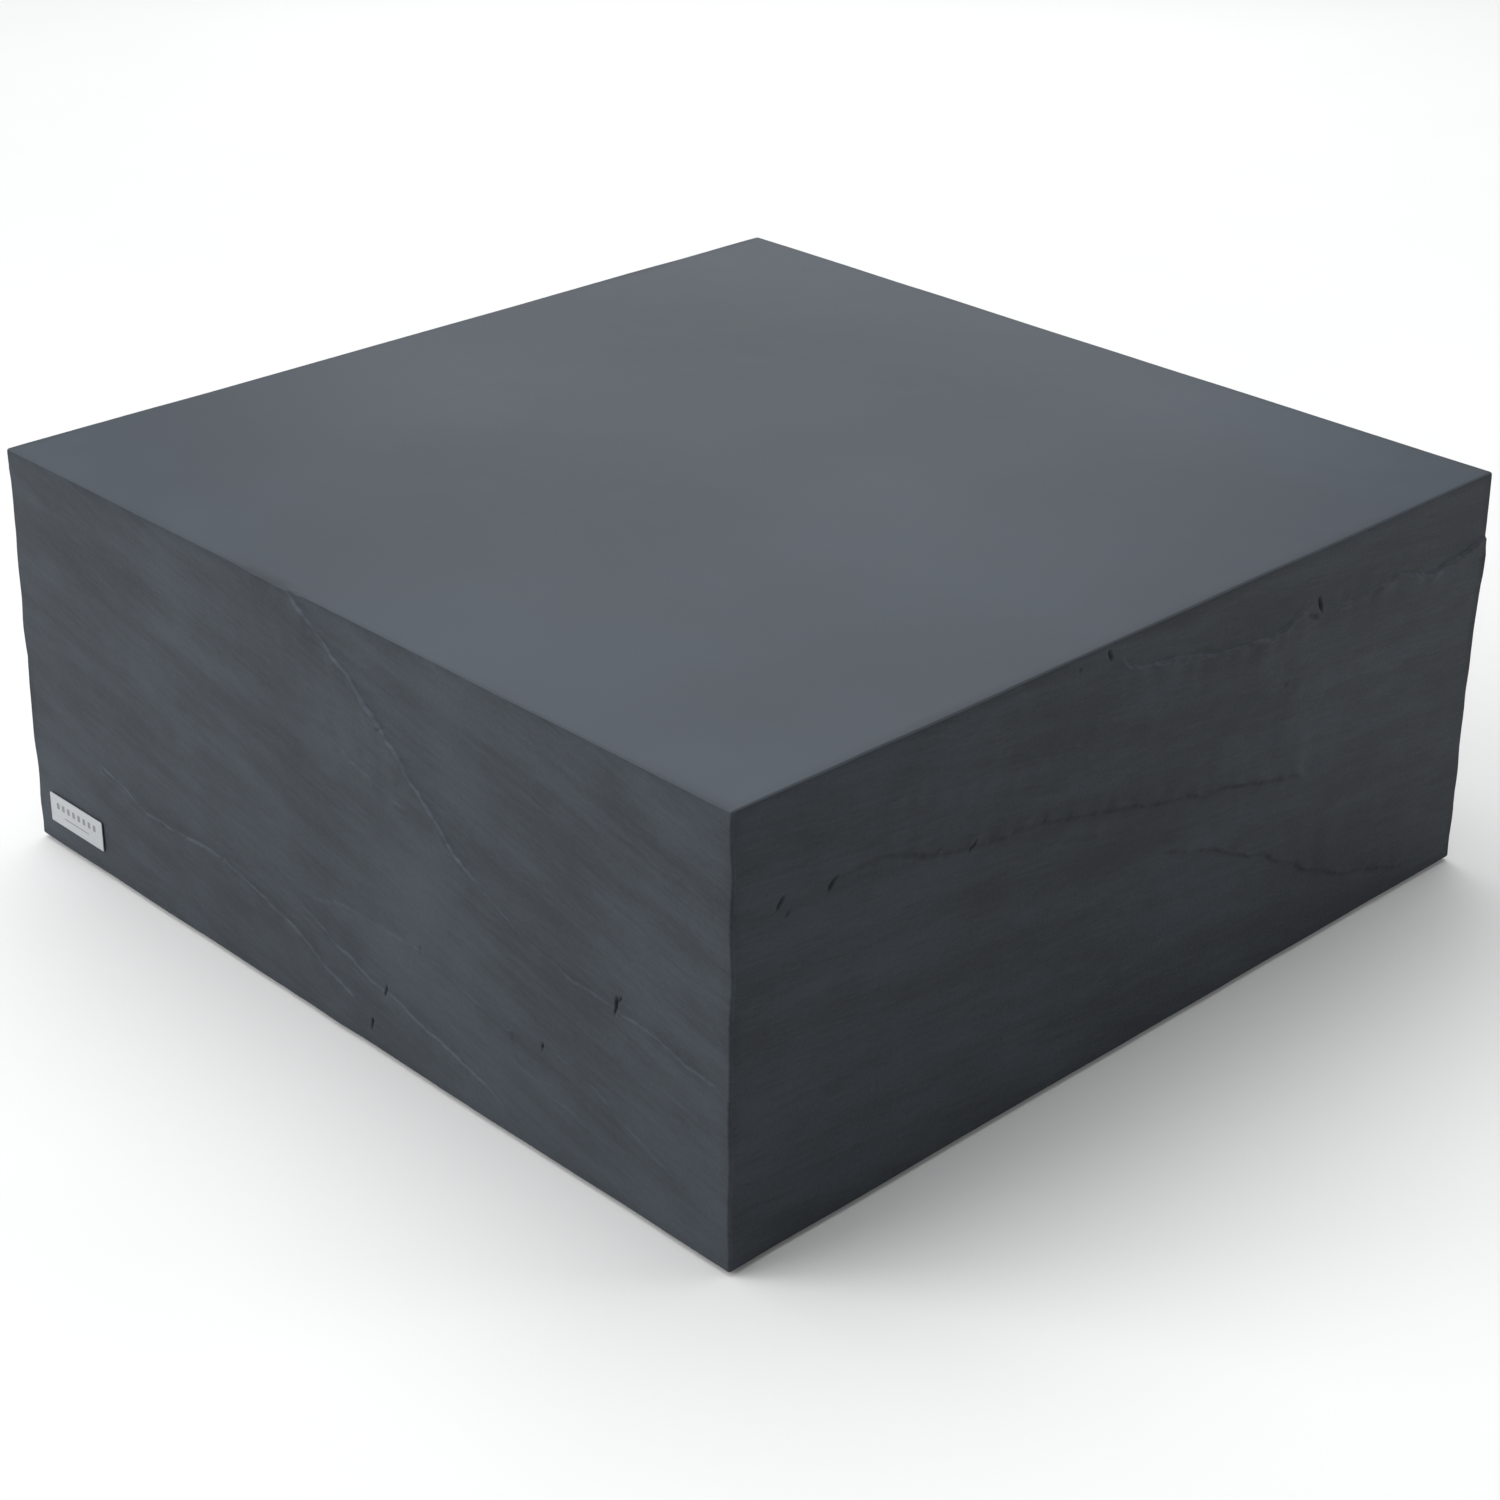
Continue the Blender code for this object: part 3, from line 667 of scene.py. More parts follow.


def split_slate(name, turn, stretch_axis, painted_shade_factor=1.0):
    """The sides: fine streaks along the dipping grain, over clouds and speckle.

    A ledge has a painted highlight on its shelf or painted shade under its overhang, and nicks and
    arrises are darkened with painted shade. The last argument darkens the whole side as painted
    shade.
    """
    material, place = new_finish(name)

    def along_grain(thickness, length):
        size = [thickness] * 3
        size[stretch_axis] = length
        return place.stretched(turn, size)

    streaks = along_grain(0.004, 0.045).noise(1.0, 4.0, 0.62)
    hairs = along_grain(0.0016, 0.010).noise(1.0, 3.0, 0.6)
    bands = along_grain(0.03, 0.20).noise(1.0, 3.0, 0.55)
    clouds = place.noise(5.0, 4.0, 0.55)
    mottle = place.noise(230.0, 3.0, 0.65)
    speckle = place.noise(800.0, 2.0, 0.7)
    ledge = place.attribute("ledge")
    pit = place.attribute("pit")
    arris = place.attribute("arris")
    tone = streaks * 0.20 + hairs * 0.14 + bands * 0.28 + clouds * 0.38
    colour = tone.ramp(0.36, 0.64).tint(SLATE_DARK, SLATE_LIGHT)
    # Painted light: a highlight on a ledge's shelf, painted shade under its overhang, in nicks and
    # along arrises
    bright = ledge.ramp(0.0, 1.5, 0.0, 0.75)
    dark = ledge.ramp(-1.4, 0.0, 0.25, 0.0)
    light = 0.73 + speckle * 0.24 + mottle * 0.30 + bright - dark - pit * 0.38 - arris * 0.25
    set_finish(
        material,
        place,
        height=streaks * 0.35 + hairs * 0.25 + mottle * 0.12 + speckle * 0.12 + bands * 0.5,
        depth=0.0018,
        Base_Color=(light * painted_shade_factor).shade(colour),
        Roughness=0.52 + hairs * 0.12 + clouds * 0.10 + arris * 0.2,
        Specular_IOR_Level=0.15,
    )
    return material


def floated_top(name):
    """The top: almost even, with wide soft clouds left by the float and a fine grain."""
    material, place = new_finish(name)
    clouds = place.noise(2.6, 2.0, 0.45)
    mottle = place.noise(22.0, 4.0, 0.55)
    grain = place.noise(1100.0, 2.0, 0.6)
    arris = place.attribute("arris")
    colour = (clouds * 0.75 + mottle * 0.25).ramp(0.36, 0.66).tint(TOP_DARK, TOP_LIGHT)
    # The arrises are darkened with painted shade
    light = 0.96 + grain * 0.08 - arris * 0.35
    set_finish(
        material,
        place,
        height=mottle * 0.5 + grain * 0.2,
        depth=0.0003,
        Base_Color=light.shade(colour),
        Roughness=0.40 + mottle * 0.10 + arris * 0.1,
        Specular_IOR_Level=0.26,
    )
    return material


def moulded_inside(name):
    """The hollow: the bare mix, paler and duller, with the core's soft ripple and small bubbles."""
    material, place = new_finish(name)
    ripple = place.noise(9.0, 3.0, 0.5)
    bubbles = place.node(
        "ShaderNodeTexVoronoi", {"feature": "F1"}, {"Vector": place, "Scale": 110.0}, "Distance"
    )
    dust = place.noise(60.0, 4.0, 0.6)
    hollows = bubbles.ramp(0.05, 0.22)
    colour = (ripple * 0.5 + dust * 0.5).ramp(0.3, 0.7).tint(INSIDE_DARK, INSIDE_LIGHT)
    set_finish(
        material,
        place,
        height=hollows * 0.6 + dust * 0.4,
        depth=0.0008,
        Base_Color=(0.80 + hollows * 0.20).shade(colour),
        Roughness=0.70 + dust * 0.14,
        Specular_IOR_Level=0.25,
    )
    return material


front_dip, right_dip, back_dip, left_dip = (math.radians(side["dip"]) for side in SIDES.values())
refinish(
    cast_shell,
    split_slate("slate_front", (0, front_dip, 0), 0),
    # The right side's slate is darkened as a whole, as painted shade
    split_slate("slate_right_painted_shade", (-right_dip, 0, 0), 1, painted_shade_factor=0.71),
    split_slate("slate_back", (0, -back_dip, 0), 0),
    split_slate("slate_left", (left_dip, 0, 0), 1),
    floated_top("slate_top"),
    moulded_inside("slate_inside"),
)
skin = cast_shell.data
side_names = list(SIDES)
top_slot = len(side_names)
inside_slot = top_slot + 1
for face in skin.polygons:
    name = side_of(face.center, reach=SKIN_REACH)
    if face.center.z > TOP - ARRIS_RADIUS / 2 - TOP_SWELL and face.normal.z > 0.3:
        face.material_index = top_slot
    elif name and face.center.z > RIM + 0.0001:
        face.material_index = side_names.index(name)
    else:
        face.material_index = inside_slot

# What the finishes read at each point: how much of a ledge, a nick and an arris it is. The finishes
# paint a highlight on a ledge's shelf, and shade under its overhang, in a nick and along an arris.
count = len(skin.vertices)
marks = {"ledge": np.zeros(count), "pit": np.zeros(count), "arris": np.zeros(count)}
places = [vertex.co.copy() for vertex in skin.vertices]
for name, side in SIDES.items():
    members = [i for i, place in enumerate(places) if side_of(place, reach=SKIN_REACH) == name]
    along, height = measured(places, members, side)
    wobble = path_wobble(side, along, height)
    strength = ledge_strength(side, along, height)
    ledge = np.zeros(len(members))
    pit = np.zeros(len(members))
    for rise, proud, _, path in side["ledges"]:
        signed, share = distance_to(path, along, height, wobble)
        near = 1 - smoothstep(np.abs(signed) / LEDGE_PAINTED_LIGHT_REACH[proud])
        line = rise / LEDGE_PAINTED_LIGHT_FULL * (share * strength) * near
        ledge = np.where(line > np.abs(ledge), -proud * line, ledge)
    for nick in side["nicks"]:
        reach = nick_reach(nick, along + wobble * 0.5, height)
        pit = np.maximum(pit, nick[-1] / NICK_PAINTED_SHADE_FULL * smoothstep(reach * 2))
    marks["ledge"][members] = ledge
    marks["pit"][members] = pit
for i, place in enumerate(places):
    outline = outline_at(place.z)
    gaps = sorted((outline - abs(place.x), outline - abs(place.y), TOP - place.z, place.z - RIM))
    marks["arris"][i] = 1 - smoothstep(gaps[1] / ARRIS_PAINTED_SHADE_REACH)
for name, values in marks.items():
    attribute = skin.attributes.new(name, "FLOAT", "POINT")
    attribute.data.foreach_set("value", values.astype(np.float32))

smooth(cast_shell, angle=42)
apply_modifier(cast_shell, "WEIGHTED_NORMAL", mode="FACE_AREA", weight=60, keep_sharp=True)
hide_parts("cast_shell")
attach(cast_shell, "shell")


# ---------------------------------------------------------------------------------------------
# The cast-in inserts. Flanged sleeves of zinc-plated steel, turned and tapped, one in each block.
# The stone is poured round them, so only the flange shows, round the stud.
# ---------------------------------------------------------------------------------------------

ZINC = (0.50, 0.51, 0.52)
ZINC_BRIGHT = (0.66, 0.67, 0.67)


def plated_zinc(name, turning):
    """Bright zinc plate with faint clouds, fine scratches and, where it was turned, tool rings."""
    material, place = new_finish(name)
    clouds = place.noise(160.0, 3.0, 0.5)
    scratches = place.stretched((0, 0, 0), (0.004, 0.004, 0.0003)).noise(1.0, 2.0, 0.5)
    rings = place.node(
        "ShaderNodeTexWave",
        {"wave_type": "BANDS", "bands_direction": "Z"},
        {"Vector": place, "Scale": 900.0, "Distortion": 0.6},
        "Fac",
    )
    set_finish(
        material,
        place,
        height=scratches * 0.6 + rings * turning,
        depth=0.00006,
        Base_Color=clouds.tint(ZINC, ZINC_BRIGHT),
        Roughness=0.26 + clouds * 0.18,
        Metallic=1.0,
    )
    return material


insert_zinc = plated_zinc("insert_zinc", turning=0.5)
for corner in CORNERS:
    refinish(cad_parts[f"insert_{corner}"], insert_zinc)


# ---------------------------------------------------------------------------------------------
# The rubber pads. Moulded discs pressed into the feet, each with a beaded edge and rings underneath
# for grip. They carry the table's weight.
# ---------------------------------------------------------------------------------------------

pad_low, pad_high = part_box("foot_pad_front_left")
PAD_RADIUS = (pad_high.x - pad_low.x) / 2
PAD_GROOVES = 4
GROOVE_DEPTH = 0.0005
GROOVE_SLOPE = 0.0003  # across each wall of a groove
GROOVE_SHARE = 0.4  # of a ring's pitch
FIRST_GROOVE = 0.003
PAD_BEAD = 0.0007
PAD_CHAMFER = 0.0004
RUBBER_DARK = (0.012, 0.012, 0.013)
RUBBER_DUSTY = (0.034, 0.033, 0.032)
ROUND_SIDES = 64


def turned(name, profile, ring=False, sides=ROUND_SIDES):
    """A body turned about the Z axis through a profile of (radius, height). A ring has a bore."""
    radius, height = profile[0]
    piece = start_piece(
        name,
        bpy.ops.mesh.primitive_circle_add,
        vertices=sides,
        radius=radius,
        location=(0, 0, height),
    )
    bpy.ops.mesh.select_all(action="SELECT")
    for next_radius, next_height in profile[1:] + (profile[:1] if ring else []):
        rise = (0, 0, next_height - height)
        bpy.ops.mesh.extrude_edges_move(TRANSFORM_OT_translate={"value": rise})
        share = next_radius / radius
        bpy.ops.transform.resize(value=(share, share, 1), center_override=(0, 0, next_height))
        radius, height = next_radius, next_height
    bpy.ops.mesh.select_all(action="SELECT")
    if ring:
        bpy.ops.mesh.remove_doubles(threshold=1e-6)
    else:
        bpy.ops.mesh.fill_holes(sides=0)
    return finish_edit(piece)


def place_at_feet(piece, name, node, body):
    """Puts one copy of the finished piece on each foot's axis, in place of that corner's node."""
    for corner, (side_x, side_y) in CORNERS.items():
        copy = piece.copy()
        copy.data = piece.data.copy()
        copy.name = f"{name}_{corner}"
        copy.data.name = copy.name
        copy.data.transform(Matrix.Translation((side_x * FOOT_REACH, side_y * FOOT_REACH, 0)))
        bpy.context.scene.collection.objects.link(copy)
        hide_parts(f"{node}_{corner}")
        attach(copy, f"{body}_{corner}")
    bpy.data.objects.remove(piece)


def moulded_rubber(name):
    """Black rubber, dulled by dust and with the mould's fine grain."""
    material, place = new_finish(name)
    dust = place.noise(120.0, 4.0, 0.6)
    grain = place.noise(2500.0, 2.0, 0.6)
    set_finish(
        material,
        place,
        height=grain,
        depth=0.00008,
        Base_Color=dust.ramp(0.35, 0.75).tint(RUBBER_DARK, RUBBER_DUSTY),
        Roughness=0.72 + dust * 0.2,
    )
    return material


pad_profile = [(FIRST_GROOVE / 2, 0.0)]
groove_pitch = (PAD_RADIUS - FIRST_GROOVE) / PAD_GROOVES
for groove in range(PAD_GROOVES):
    start = FIRST_GROOVE + groove * groove_pitch
    end = start + groove_pitch * GROOVE_SHARE
    pad_profile += [
        (start, 0.0),
        (start + GROOVE_SLOPE, GROOVE_DEPTH),
        (end, GROOVE_DEPTH),
        (end + GROOVE_SLOPE, 0.0),
    ]
pad_profile += [
    (PAD_RADIUS - PAD_BEAD, 0.0),
    (PAD_RADIUS - 0.0002, 0.0002),
    (PAD_RADIUS, PAD_BEAD),
    (PAD_RADIUS, pad_high.z - PAD_CHAMFER),
    (PAD_RADIUS - PAD_CHAMFER, pad_high.z),
    (0.004, pad_high.z),
]
pad = turned("pad", pad_profile)
smooth(pad)
refinish(pad, moulded_rubber("rubber_black"))
place_at_feet(pad, "rubber_pad", node="foot_pad", body="foot")


# ---------------------------------------------------------------------------------------------
# The nylon feet. Moulded discs with a raised boss, hollow underneath for the pad and for the stud's
# spread end, and fluted round the edge so that fingers can hold them still.
# ---------------------------------------------------------------------------------------------

base_low, base_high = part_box("foot_base_front_left")
EDGE_RADIUS = (base_high.x - base_low.x) / 2
PAD_HOLE = PAD_RADIUS + SEAT_GAP
HEAD_HOLE = 0.0063
SPIGOT_HOLE = 0.0043
BOSS_RADIUS = 0.0109
PAD_SEAT = pad_high.z + SEAT_GAP
HEAD_SEAT = PAD_SEAT + 0.0018
FLUTE_SIDES = 72  # sides of the foot, of which each third one is a flute
FLUTE_SPACING = 3
FLUTE_DEPTH = 0.0006
FLUTE_SLOPE = 0.0001
NYLON_DARK = (0.018, 0.018, 0.020)
NYLON_LIGHT = (0.030, 0.030, 0.032)


def moulded_nylon(name):
    """Black nylon with a fine spark-eroded texture and faint flow marks."""
    material, place = new_finish(name)
    texture = place.noise(1800.0, 2.0, 0.6)
    flow = place.stretched((0, 0, 0.4), (0.02, 0.004, 0.004)).noise(1.0, 3.0, 0.5)
    set_finish(
        material,
        place,
        height=texture,
        depth=0.00006,
        Base_Color=flow.tint(NYLON_DARK, NYLON_LIGHT),
        Roughness=0.40 + texture * 0.16,
    )
    return material


# The profile runs over the boss and the skirt, and back through the recesses underneath
base = turned(
    "base",
    [
        (SPIGOT_HOLE, base_high.z - 0.0003),
        (SPIGOT_HOLE + 0.0003, base_high.z),
        (BOSS_RADIUS - 0.0018, base_high.z),
        (BOSS_RADIUS - 0.0012, base_high.z - 0.0003),
        (BOSS_RADIUS - 0.0008, base_high.z - 0.0009),
        (BOSS_RADIUS, HEAD_SEAT + 0.0015),
        (BOSS_RADIUS + 0.0006, HEAD_SEAT + 0.0008),
        (EDGE_RADIUS - 0.0012, PAD_SEAT + 0.0011),
        (EDGE_RADIUS - 0.0004, PAD_SEAT + 0.0007),
        (EDGE_RADIUS, PAD_SEAT),
        (EDGE_RADIUS, base_low.z + 0.0004),
        (EDGE_RADIUS - 0.0004, base_low.z),
        (PAD_HOLE + 0.0003, base_low.z),
        (PAD_HOLE, base_low.z + 0.0003),
        (PAD_HOLE, PAD_SEAT),
        (HEAD_HOLE, PAD_SEAT),
        (HEAD_HOLE, HEAD_SEAT),
        (SPIGOT_HOLE, HEAD_SEAT),
    ],
    ring=True,
    sides=FLUTE_SIDES,
)
bpy.ops.object.mode_set(mode="EDIT")
turn_per_side = math.tau / FLUTE_SIDES
pick(
    base,
    "FACE",
    lambda face: face.calc_center_median().xy.length > EDGE_RADIUS - 0.0003
    and abs(face.normal.z) < 0.1
    and round(math.atan2(*face.normal.yx) / turn_per_side - 0.5) % FLUTE_SPACING == 0,
)
bpy.ops.mesh.inset(thickness=FLUTE_SLOPE, depth=-FLUTE_DEPTH, use_individual=True)
finish_edit(base)
smooth(base)
refinish(base, moulded_nylon("nylon_black"))
place_at_feet(base, "nylon_foot", node="foot_base", body="foot")


# ---------------------------------------------------------------------------------------------
# The studs. Zinc-plated steel, with a rolled M10 thread and a hexagon collar for the spanner. The
# plain spigot's end is spread inside the nylon foot, so that the stud turns while the foot stays.
# ---------------------------------------------------------------------------------------------

THREAD_RADIUS = 0.00495
THREAD_ROOT = 0.00415
THREAD_PITCH = 0.0015
THREAD_LEAD_IN = 0.0012  # the chamfer at the thread's end
THREAD_STEPS = 15  # cuts made in each length of the thread, twice over
SPIGOT_RADIUS = 0.004
SPIGOT_HEAD = 0.006
SPREAD_THICKNESS = 0.0012
COLLAR_LOW = base_high.z + SEAT_GAP
COLLAR_THICKNESS = 0.006
COLLAR_HIGH = COLLAR_LOW + COLLAR_THICKNESS
THREAD_LOW = COLLAR_HIGH + 0.0010
FLAT_RADIUS = 0.0085
HEXAGON_RADIUS = FLAT_RADIUS / math.cos(math.radians(30))
CORNER_CUT = 0.0004  # how far inside the flats the turned corners start
CORNER_CLEARANCE = 0.00001


def hexagon(name, low, high):
    """A hexagon bar end, its corners turned off at 30 degrees top and bottom."""
    bar = start_piece(
        name,
        bpy.ops.mesh.primitive_cylinder_add,
        vertices=6,
        radius=HEXAGON_RADIUS,
        depth=high - low,
        location=(0, 0, (low + high) / 2),
        rotation=(0, 0, math.radians(30)),
    )
    finish_edit(bar)
    inner, outer = FLAT_RADIUS - CORNER_CUT, HEXAGON_RADIUS + CORNER_CLEARANCE
    drop = (HEXAGON_RADIUS - FLAT_RADIUS + CORNER_CUT) * math.tan(math.radians(30))
    profile = [(inner, low), (outer, low + drop), (outer, high - drop), (inner, high)]
    carve(bar, turned("turned_off", profile), "INTERSECT")
    return bar


stud = turned(
    "stud",
    [
        (SPIGOT_HEAD - 0.0004, stud_low.z),
        (SPIGOT_HEAD, stud_low.z + 0.0003),
        (SPIGOT_HEAD, stud_low.z + SPREAD_THICKNESS),
        (SPIGOT_RADIUS, stud_low.z + SPREAD_THICKNESS),
        (SPIGOT_RADIUS, COLLAR_LOW + 0.001),
        (THREAD_ROOT, COLLAR_LOW + 0.001),
        (THREAD_ROOT, COLLAR_HIGH + 0.0008),
        (THREAD_RADIUS, THREAD_LOW),
        (THREAD_RADIUS, stud_high.z - THREAD_LEAD_IN),
        (THREAD_RADIUS - THREAD_LEAD_IN, stud_high.z),
    ],
    sides=36,
)
bpy.ops.object.mode_set(mode="EDIT")
for _ in range(2):
    pick(
        stud,
        "EDGE",
        lambda edge: runs_along(edge, 2, at_least=0.002)
        and min(corner.co.z for corner in edge.verts) > THREAD_LOW - 0.0001,
    )
    bpy.ops.mesh.subdivide(number_cuts=THREAD_STEPS)
finish_edit(stud)

# The thread's groove climbs once round the stud for each pitch
for vertex in stud.data.vertices:
    if vertex.co.z > THREAD_LOW - 0.0001 and vertex.co.xy.length > THREAD_RADIUS - 0.0001:
        turns = vertex.co.z / THREAD_PITCH - math.atan2(vertex.co.y, vertex.co.x) / math.tau
        climb = abs(turns % 1 - 0.5) * 2
        depth = float(smoothstep((climb - 0.12) / 0.76)) * (THREAD_RADIUS - THREAD_ROOT)
        vertex.co.xy *= (THREAD_RADIUS - depth) / vertex.co.xy.length
carve(stud, hexagon("collar", COLLAR_LOW, COLLAR_HIGH), "UNION")
smooth(stud, angle=50)
refinish(stud, plated_zinc("stud_zinc", turning=0.0))
place_at_feet(stud, "steel_foot_stud", node="foot_stud", body="stud")


# ---------------------------------------------------------------------------------------------
# The lock nuts. Thin zinc-plated hexagon nuts, run up the studs and tightened under the inserts to
# hold the height that has been set.
# ---------------------------------------------------------------------------------------------

nut_low, nut_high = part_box("lock_nut_front_left")
BORE_RADIUS = 0.0053
BORE_CHAMFER = 0.0006
nut = hexagon("nut", nut_low.z, nut_high.z)
mouth_radius = BORE_RADIUS + BORE_CHAMFER * 2
bore_profile = [
    (mouth_radius, nut_low.z - BORE_CHAMFER),
    (BORE_RADIUS, nut_low.z + BORE_CHAMFER),
    (BORE_RADIUS, nut_high.z - BORE_CHAMFER),
    (mouth_radius, nut_high.z + BORE_CHAMFER),
]
carve(nut, turned("bore", bore_profile))
smooth(nut, angle=20)
refinish(nut, plated_zinc("nut_zinc", turning=0.2))
place_at_feet(nut, "steel_lock_nut", node="lock_nut", body="nut")


# ---------------------------------------------------------------------------------------------
# The name plate and its tape. A small brushed steel plate with a rolled edge, engraved with a plain
# row of bars over a line, and held on the front by a layer of black foam tape just inside its edge.
# ---------------------------------------------------------------------------------------------

PLATE_THICKNESS = 0.0008
PLATE_CORNER = 0.0012
PLATE_CROWN = 0.00008  # how far the face stands over the rolled edge
ROLLED_EDGE = 0.0003
BAR_COUNT = 8
BAR_SIZE = (0.0050, 0.0072)
BAR_PITCH = 0.0098
BAR_RISE = 0.0045
LINE_SIZE = (0.046, 0.0014)
LINE_DROP = 0.0065
ENGRAVING = 0.00015
ENGRAVED_CORNER = 0.0005
STEEL_DARK = (0.405, 0.420, 0.438)
STEEL_LIGHT = (0.470, 0.485, 0.503)
FOAM_DARK = (0.010, 0.010, 0.011)
FOAM_LIGHT = (0.028, 0.028, 0.029)
plate_middle = (plate_low + plate_high) / 2
plate_width = plate_high.x - plate_low.x
plate_height = (plate_high.z - plate_low.z - PLATE_THICKNESS * DRAFT) / math.cos(math.atan(DRAFT))

name_plate = start_block(
    "name_plate_steel",
    middle=(0, 0, 0),
    size=(plate_width, PLATE_THICKNESS, plate_height),
)
pick(name_plate, "EDGE", lambda edge: runs_along(edge, 1, at_least=0))
bpy.ops.mesh.bevel(offset=PLATE_CORNER, segments=5, affect="EDGES")
pick(name_plate, "FACE", lambda face: face.normal.y < -0.9)
bpy.ops.mesh.inset(thickness=ROLLED_EDGE, depth=0)
bpy.ops.transform.translate(value=(0, -PLATE_CROWN, 0))
bpy.ops.mesh.inset(thickness=0.0002, depth=0)
finish_edit(name_plate)
marks_left = -(BAR_COUNT - 1) * BAR_PITCH / 2
engravings = [((marks_left + i * BAR_PITCH, BAR_RISE), BAR_SIZE) for i in range(BAR_COUNT)]
engravings.append(((0, -LINE_DROP), LINE_SIZE))
for (x, z), (width, height) in engravings:
    tool = start_block(
        "graver",
        middle=(x, -PLATE_THICKNESS / 2 - PLATE_CROWN, z),
        size=(width, ENGRAVING * 2, height),
    )
    pick(tool, "EDGE", lambda edge: runs_along(edge, 1, at_least=0))
    bpy.ops.mesh.bevel(offset=ENGRAVED_CORNER, segments=3, affect="EDGES")
    carve(name_plate, finish_edit(tool))
upright_to_place = Matrix.Translation(plate_middle) @ Matrix.Rotation(-math.atan(DRAFT), 4, "X")
name_plate.data.transform(upright_to_place)


def brushed_steel(name):
    """Satin steel brushed along its length, dark in the engraving."""
    material, place = new_finish(name)
    brushing = place.stretched((0, 0, 0), (0.02, 0.0002, 0.0002)).noise(1.0, 3.0, 0.6)
    clouds = place.noise(60.0, 2.0, 0.5)
    engraved = place.attribute("engraved")
    steel = brushing.ramp(0.3, 0.7).tint(STEEL_DARK, STEEL_LIGHT)
    set_finish(
        material,
        place,
        height=brushing,
        depth=0.00002,
        Base_Color=(1 - engraved * 0.50).shade(steel),
        Roughness=0.42 + clouds * 0.10,
        Metallic=0.35,
    )
    return material


# The finish reads which points lie down in the engraving, away from the plate's edge
EDGE_MARGIN = 0.002
engraved = name_plate.data.attributes.new("engraved", "FLOAT", "POINT")
place_to_upright = upright_to_place.inverted()
for vertex, mark in zip(name_plate.data.vertices, engraved.data):
    x, y, z = place_to_upright @ vertex.co
    in_face = max(abs(x) - plate_width / 2, abs(z) - plate_height / 2) < -EDGE_MARGIN
    mark.value = 1.0 if in_face and y > -PLATE_THICKNESS / 2 else 0.0
smooth(name_plate)
refinish(name_plate, brushed_steel("steel_brushed"))
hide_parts("name_plate")
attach(name_plate, "shell")

tape_finish, tape_place = new_finish("foam_black")
cells = tape_place.node(
    "ShaderNodeTexVoronoi", {"feature": "F1"}, {"Vector": tape_place, "Scale": 3000.0}, "Distance"
)
set_finish(
    tape_finish,
    tape_place,
    height=cells,
    depth=0.0001,
    Base_Color=cells.ramp(0.0, 0.6).tint(FOAM_DARK, FOAM_LIGHT),
    Roughness=0.85,
)
refinish(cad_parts["plate_tape"], tape_finish)


# ---------------------------------------------------------------------------------------------
# The floor, the lights and the camera. A wide pale floor, a large soft lamp overhead and one from
# the left, softboxes behind and at both sides, and a little light from all round.
# ---------------------------------------------------------------------------------------------

FLOOR_SIZE = 120
FLOOR_DARK = (0.73, 0.73, 0.73)
FLOOR_LIGHT = (0.75, 0.75, 0.75)
ROOM_COLOUR = (0.97, 0.985, 1.0, 1.0)
ROOM_LIGHT = 0.27
floor = start_piece("floor", bpy.ops.mesh.primitive_plane_add, size=FLOOR_SIZE, location=(0, 0, 0))
bpy.ops.object.mode_set(mode="OBJECT")
floor_finish, floor_place = new_finish("pale_floor")
set_finish(
    floor_finish,
    floor_place,
    Base_Color=floor_place.noise(3.0, 2.0).tint(FLOOR_DARK, FLOOR_LIGHT),
    Roughness=0.9,
    Specular_IOR_Level=0.1,
)
refinish(floor, floor_finish)

world = bpy.data.worlds.new("studio")
bpy.context.scene.world = world
world.use_nodes = True
room = world.node_tree.nodes["Background"]
room.inputs["Color"].default_value = ROOM_COLOUR
room.inputs["Strength"].default_value = ROOM_LIGHT


def add_lamp(name, kind, comes_from, **settings):
    """A lamp whose light comes from this direction."""
    lamp = bpy.data.objects.new(name, bpy.data.lights.new(name, kind))
    for key, value in settings.items():
        setattr(lamp.data, key, value)
    lamp.rotation_euler = comes_from.to_track_quat("Z", "Y").to_euler()
    bpy.context.scene.collection.objects.link(lamp)
    return lamp


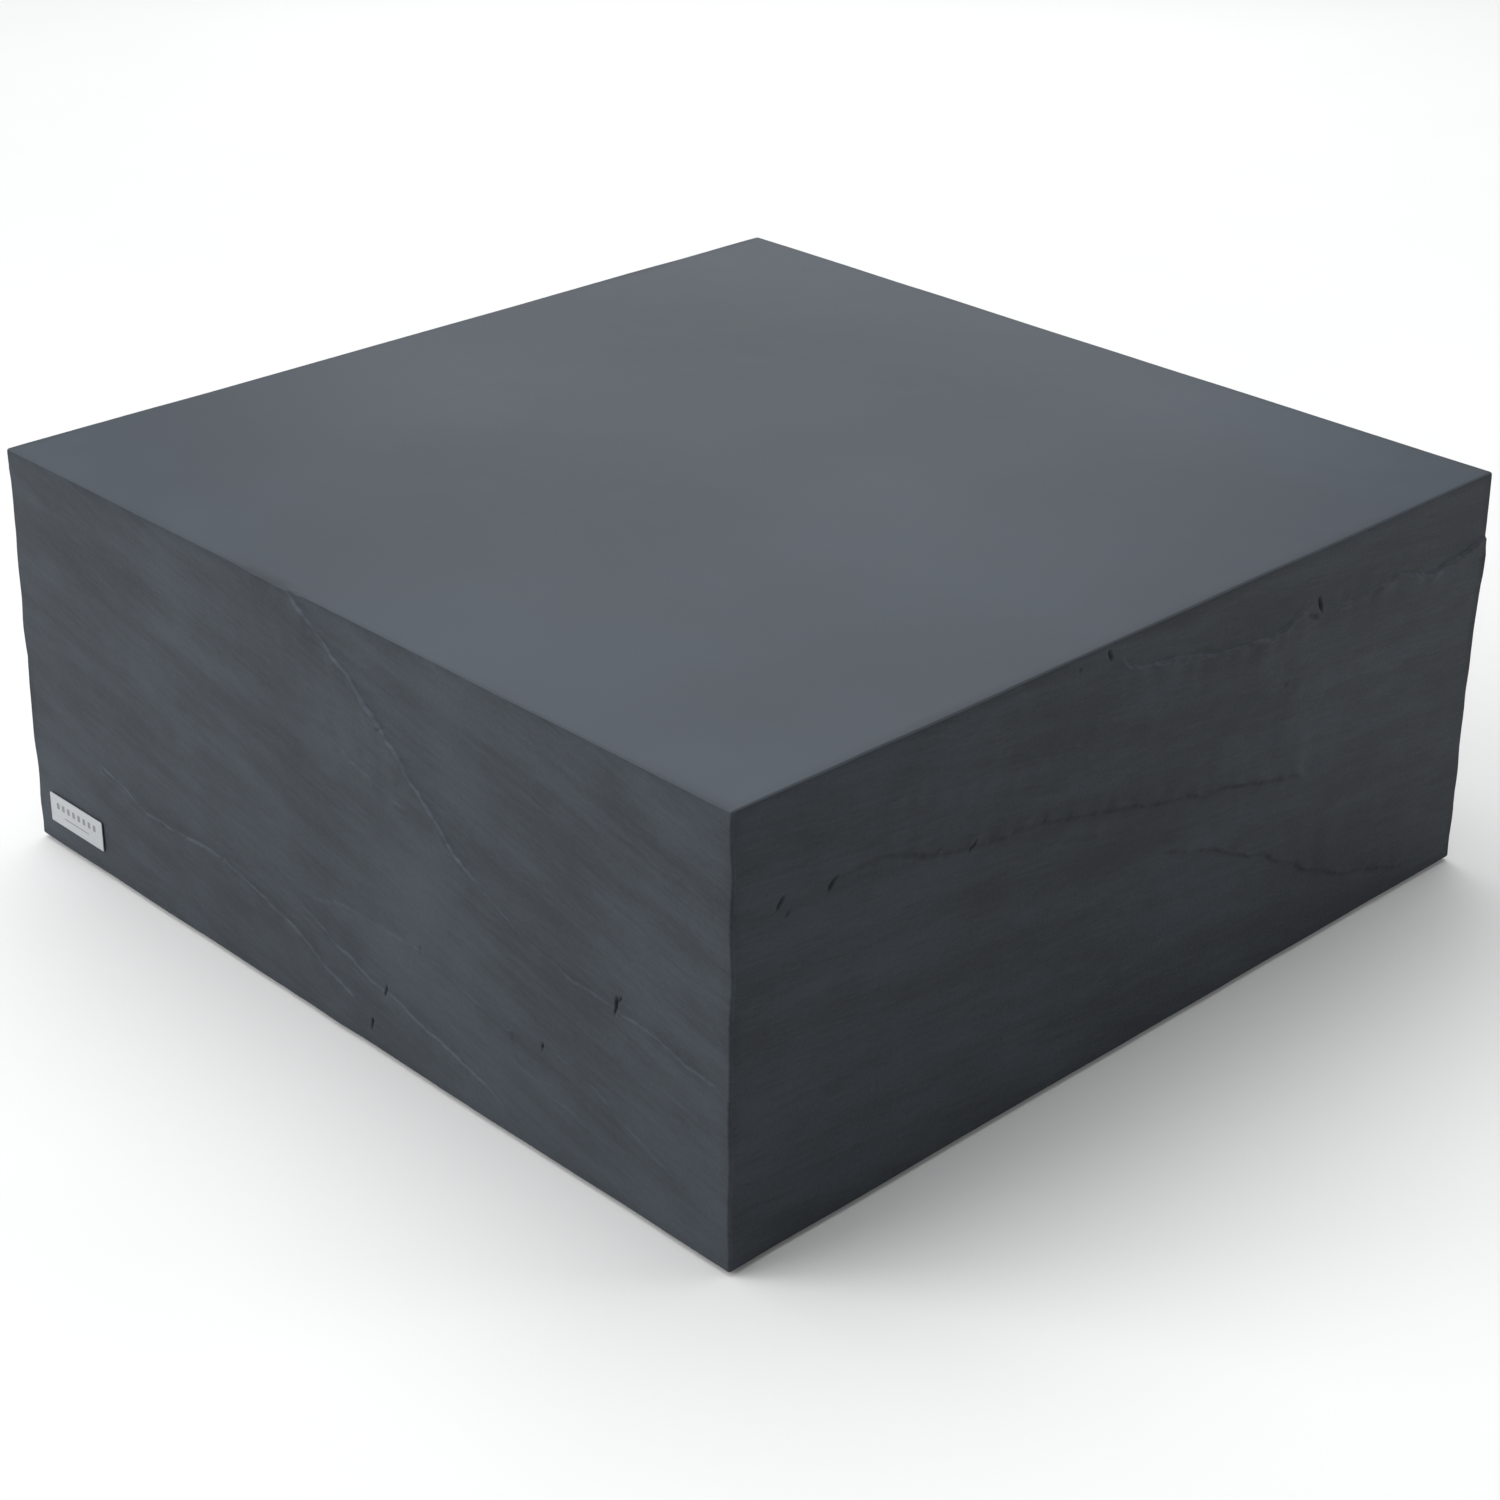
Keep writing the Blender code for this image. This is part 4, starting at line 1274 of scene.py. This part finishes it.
for lamp_name, strength, spread, comes_from in (
    ("overhead_lamp", 2.3, 60, Vector((-0.30, 0.12, 1.0))),
    ("left_lamp", 1.4, 45, Vector((-0.50, -0.72, 0.60))),
):
    add_lamp(lamp_name, "SUN", comes_from, energy=strength, angle=math.radians(spread))

table_middle = Vector((0, 0, TOP / 2))
for lamp_name, watts, width, stands_at in (
    ("back_softbox", 10, 2.4, Vector((-2.6, 2.6, 1.7))),
    ("left_softbox", 23, 1.2, Vector((-1.6, -2.4, 1.3))),
    ("right_softbox", 20, 1.2, Vector((2.4, 2.0, 1.1))),
):
    softbox = add_lamp(lamp_name, "AREA", stands_at - table_middle, energy=watts, size=width)
    softbox.location = stands_at

# The camera stands off the front right corner, a little above the table, rolled by under a degree
CAMERA_AZIMUTH = math.radians(45.56)
CAMERA_ELEVATION = math.radians(27.07)
CAMERA_ROLL = math.radians(0.71)
CAMERA_DISTANCE = 3.0845
CAMERA_LENS = 71.06
CAMERA_ASIDE = 0.0053  # how far the camera stands to the right of a line to the table's middle
CAMERA_BELOW = 0.0955
LOOK_AT_HEIGHT = 0.2251
back = Vector(
    (
        math.sin(CAMERA_AZIMUTH) * math.cos(CAMERA_ELEVATION),
        -math.cos(CAMERA_AZIMUTH) * math.cos(CAMERA_ELEVATION),
        math.sin(CAMERA_ELEVATION),
    )
)
level = (-back).cross(Vector((0, 0, 1))).normalized()
upward = level.cross(-back)
camera_data = bpy.data.cameras.new("camera")
camera_data.lens = CAMERA_LENS
camera = bpy.data.objects.new("camera", camera_data)
bpy.context.scene.collection.objects.link(camera)
stand = back * CAMERA_DISTANCE + level * CAMERA_ASIDE - upward * CAMERA_BELOW
camera.location = stand + Vector((0, 0, LOOK_AT_HEIGHT))
rolled_right = level * math.cos(CAMERA_ROLL) + upward * math.sin(CAMERA_ROLL)
rolled_up = upward * math.cos(CAMERA_ROLL) - level * math.sin(CAMERA_ROLL)
camera.rotation_euler = Matrix((rolled_right, rolled_up, back)).transposed().to_euler()
bpy.context.scene.camera = camera
bpy.context.scene.view_settings.view_transform = "Standard"
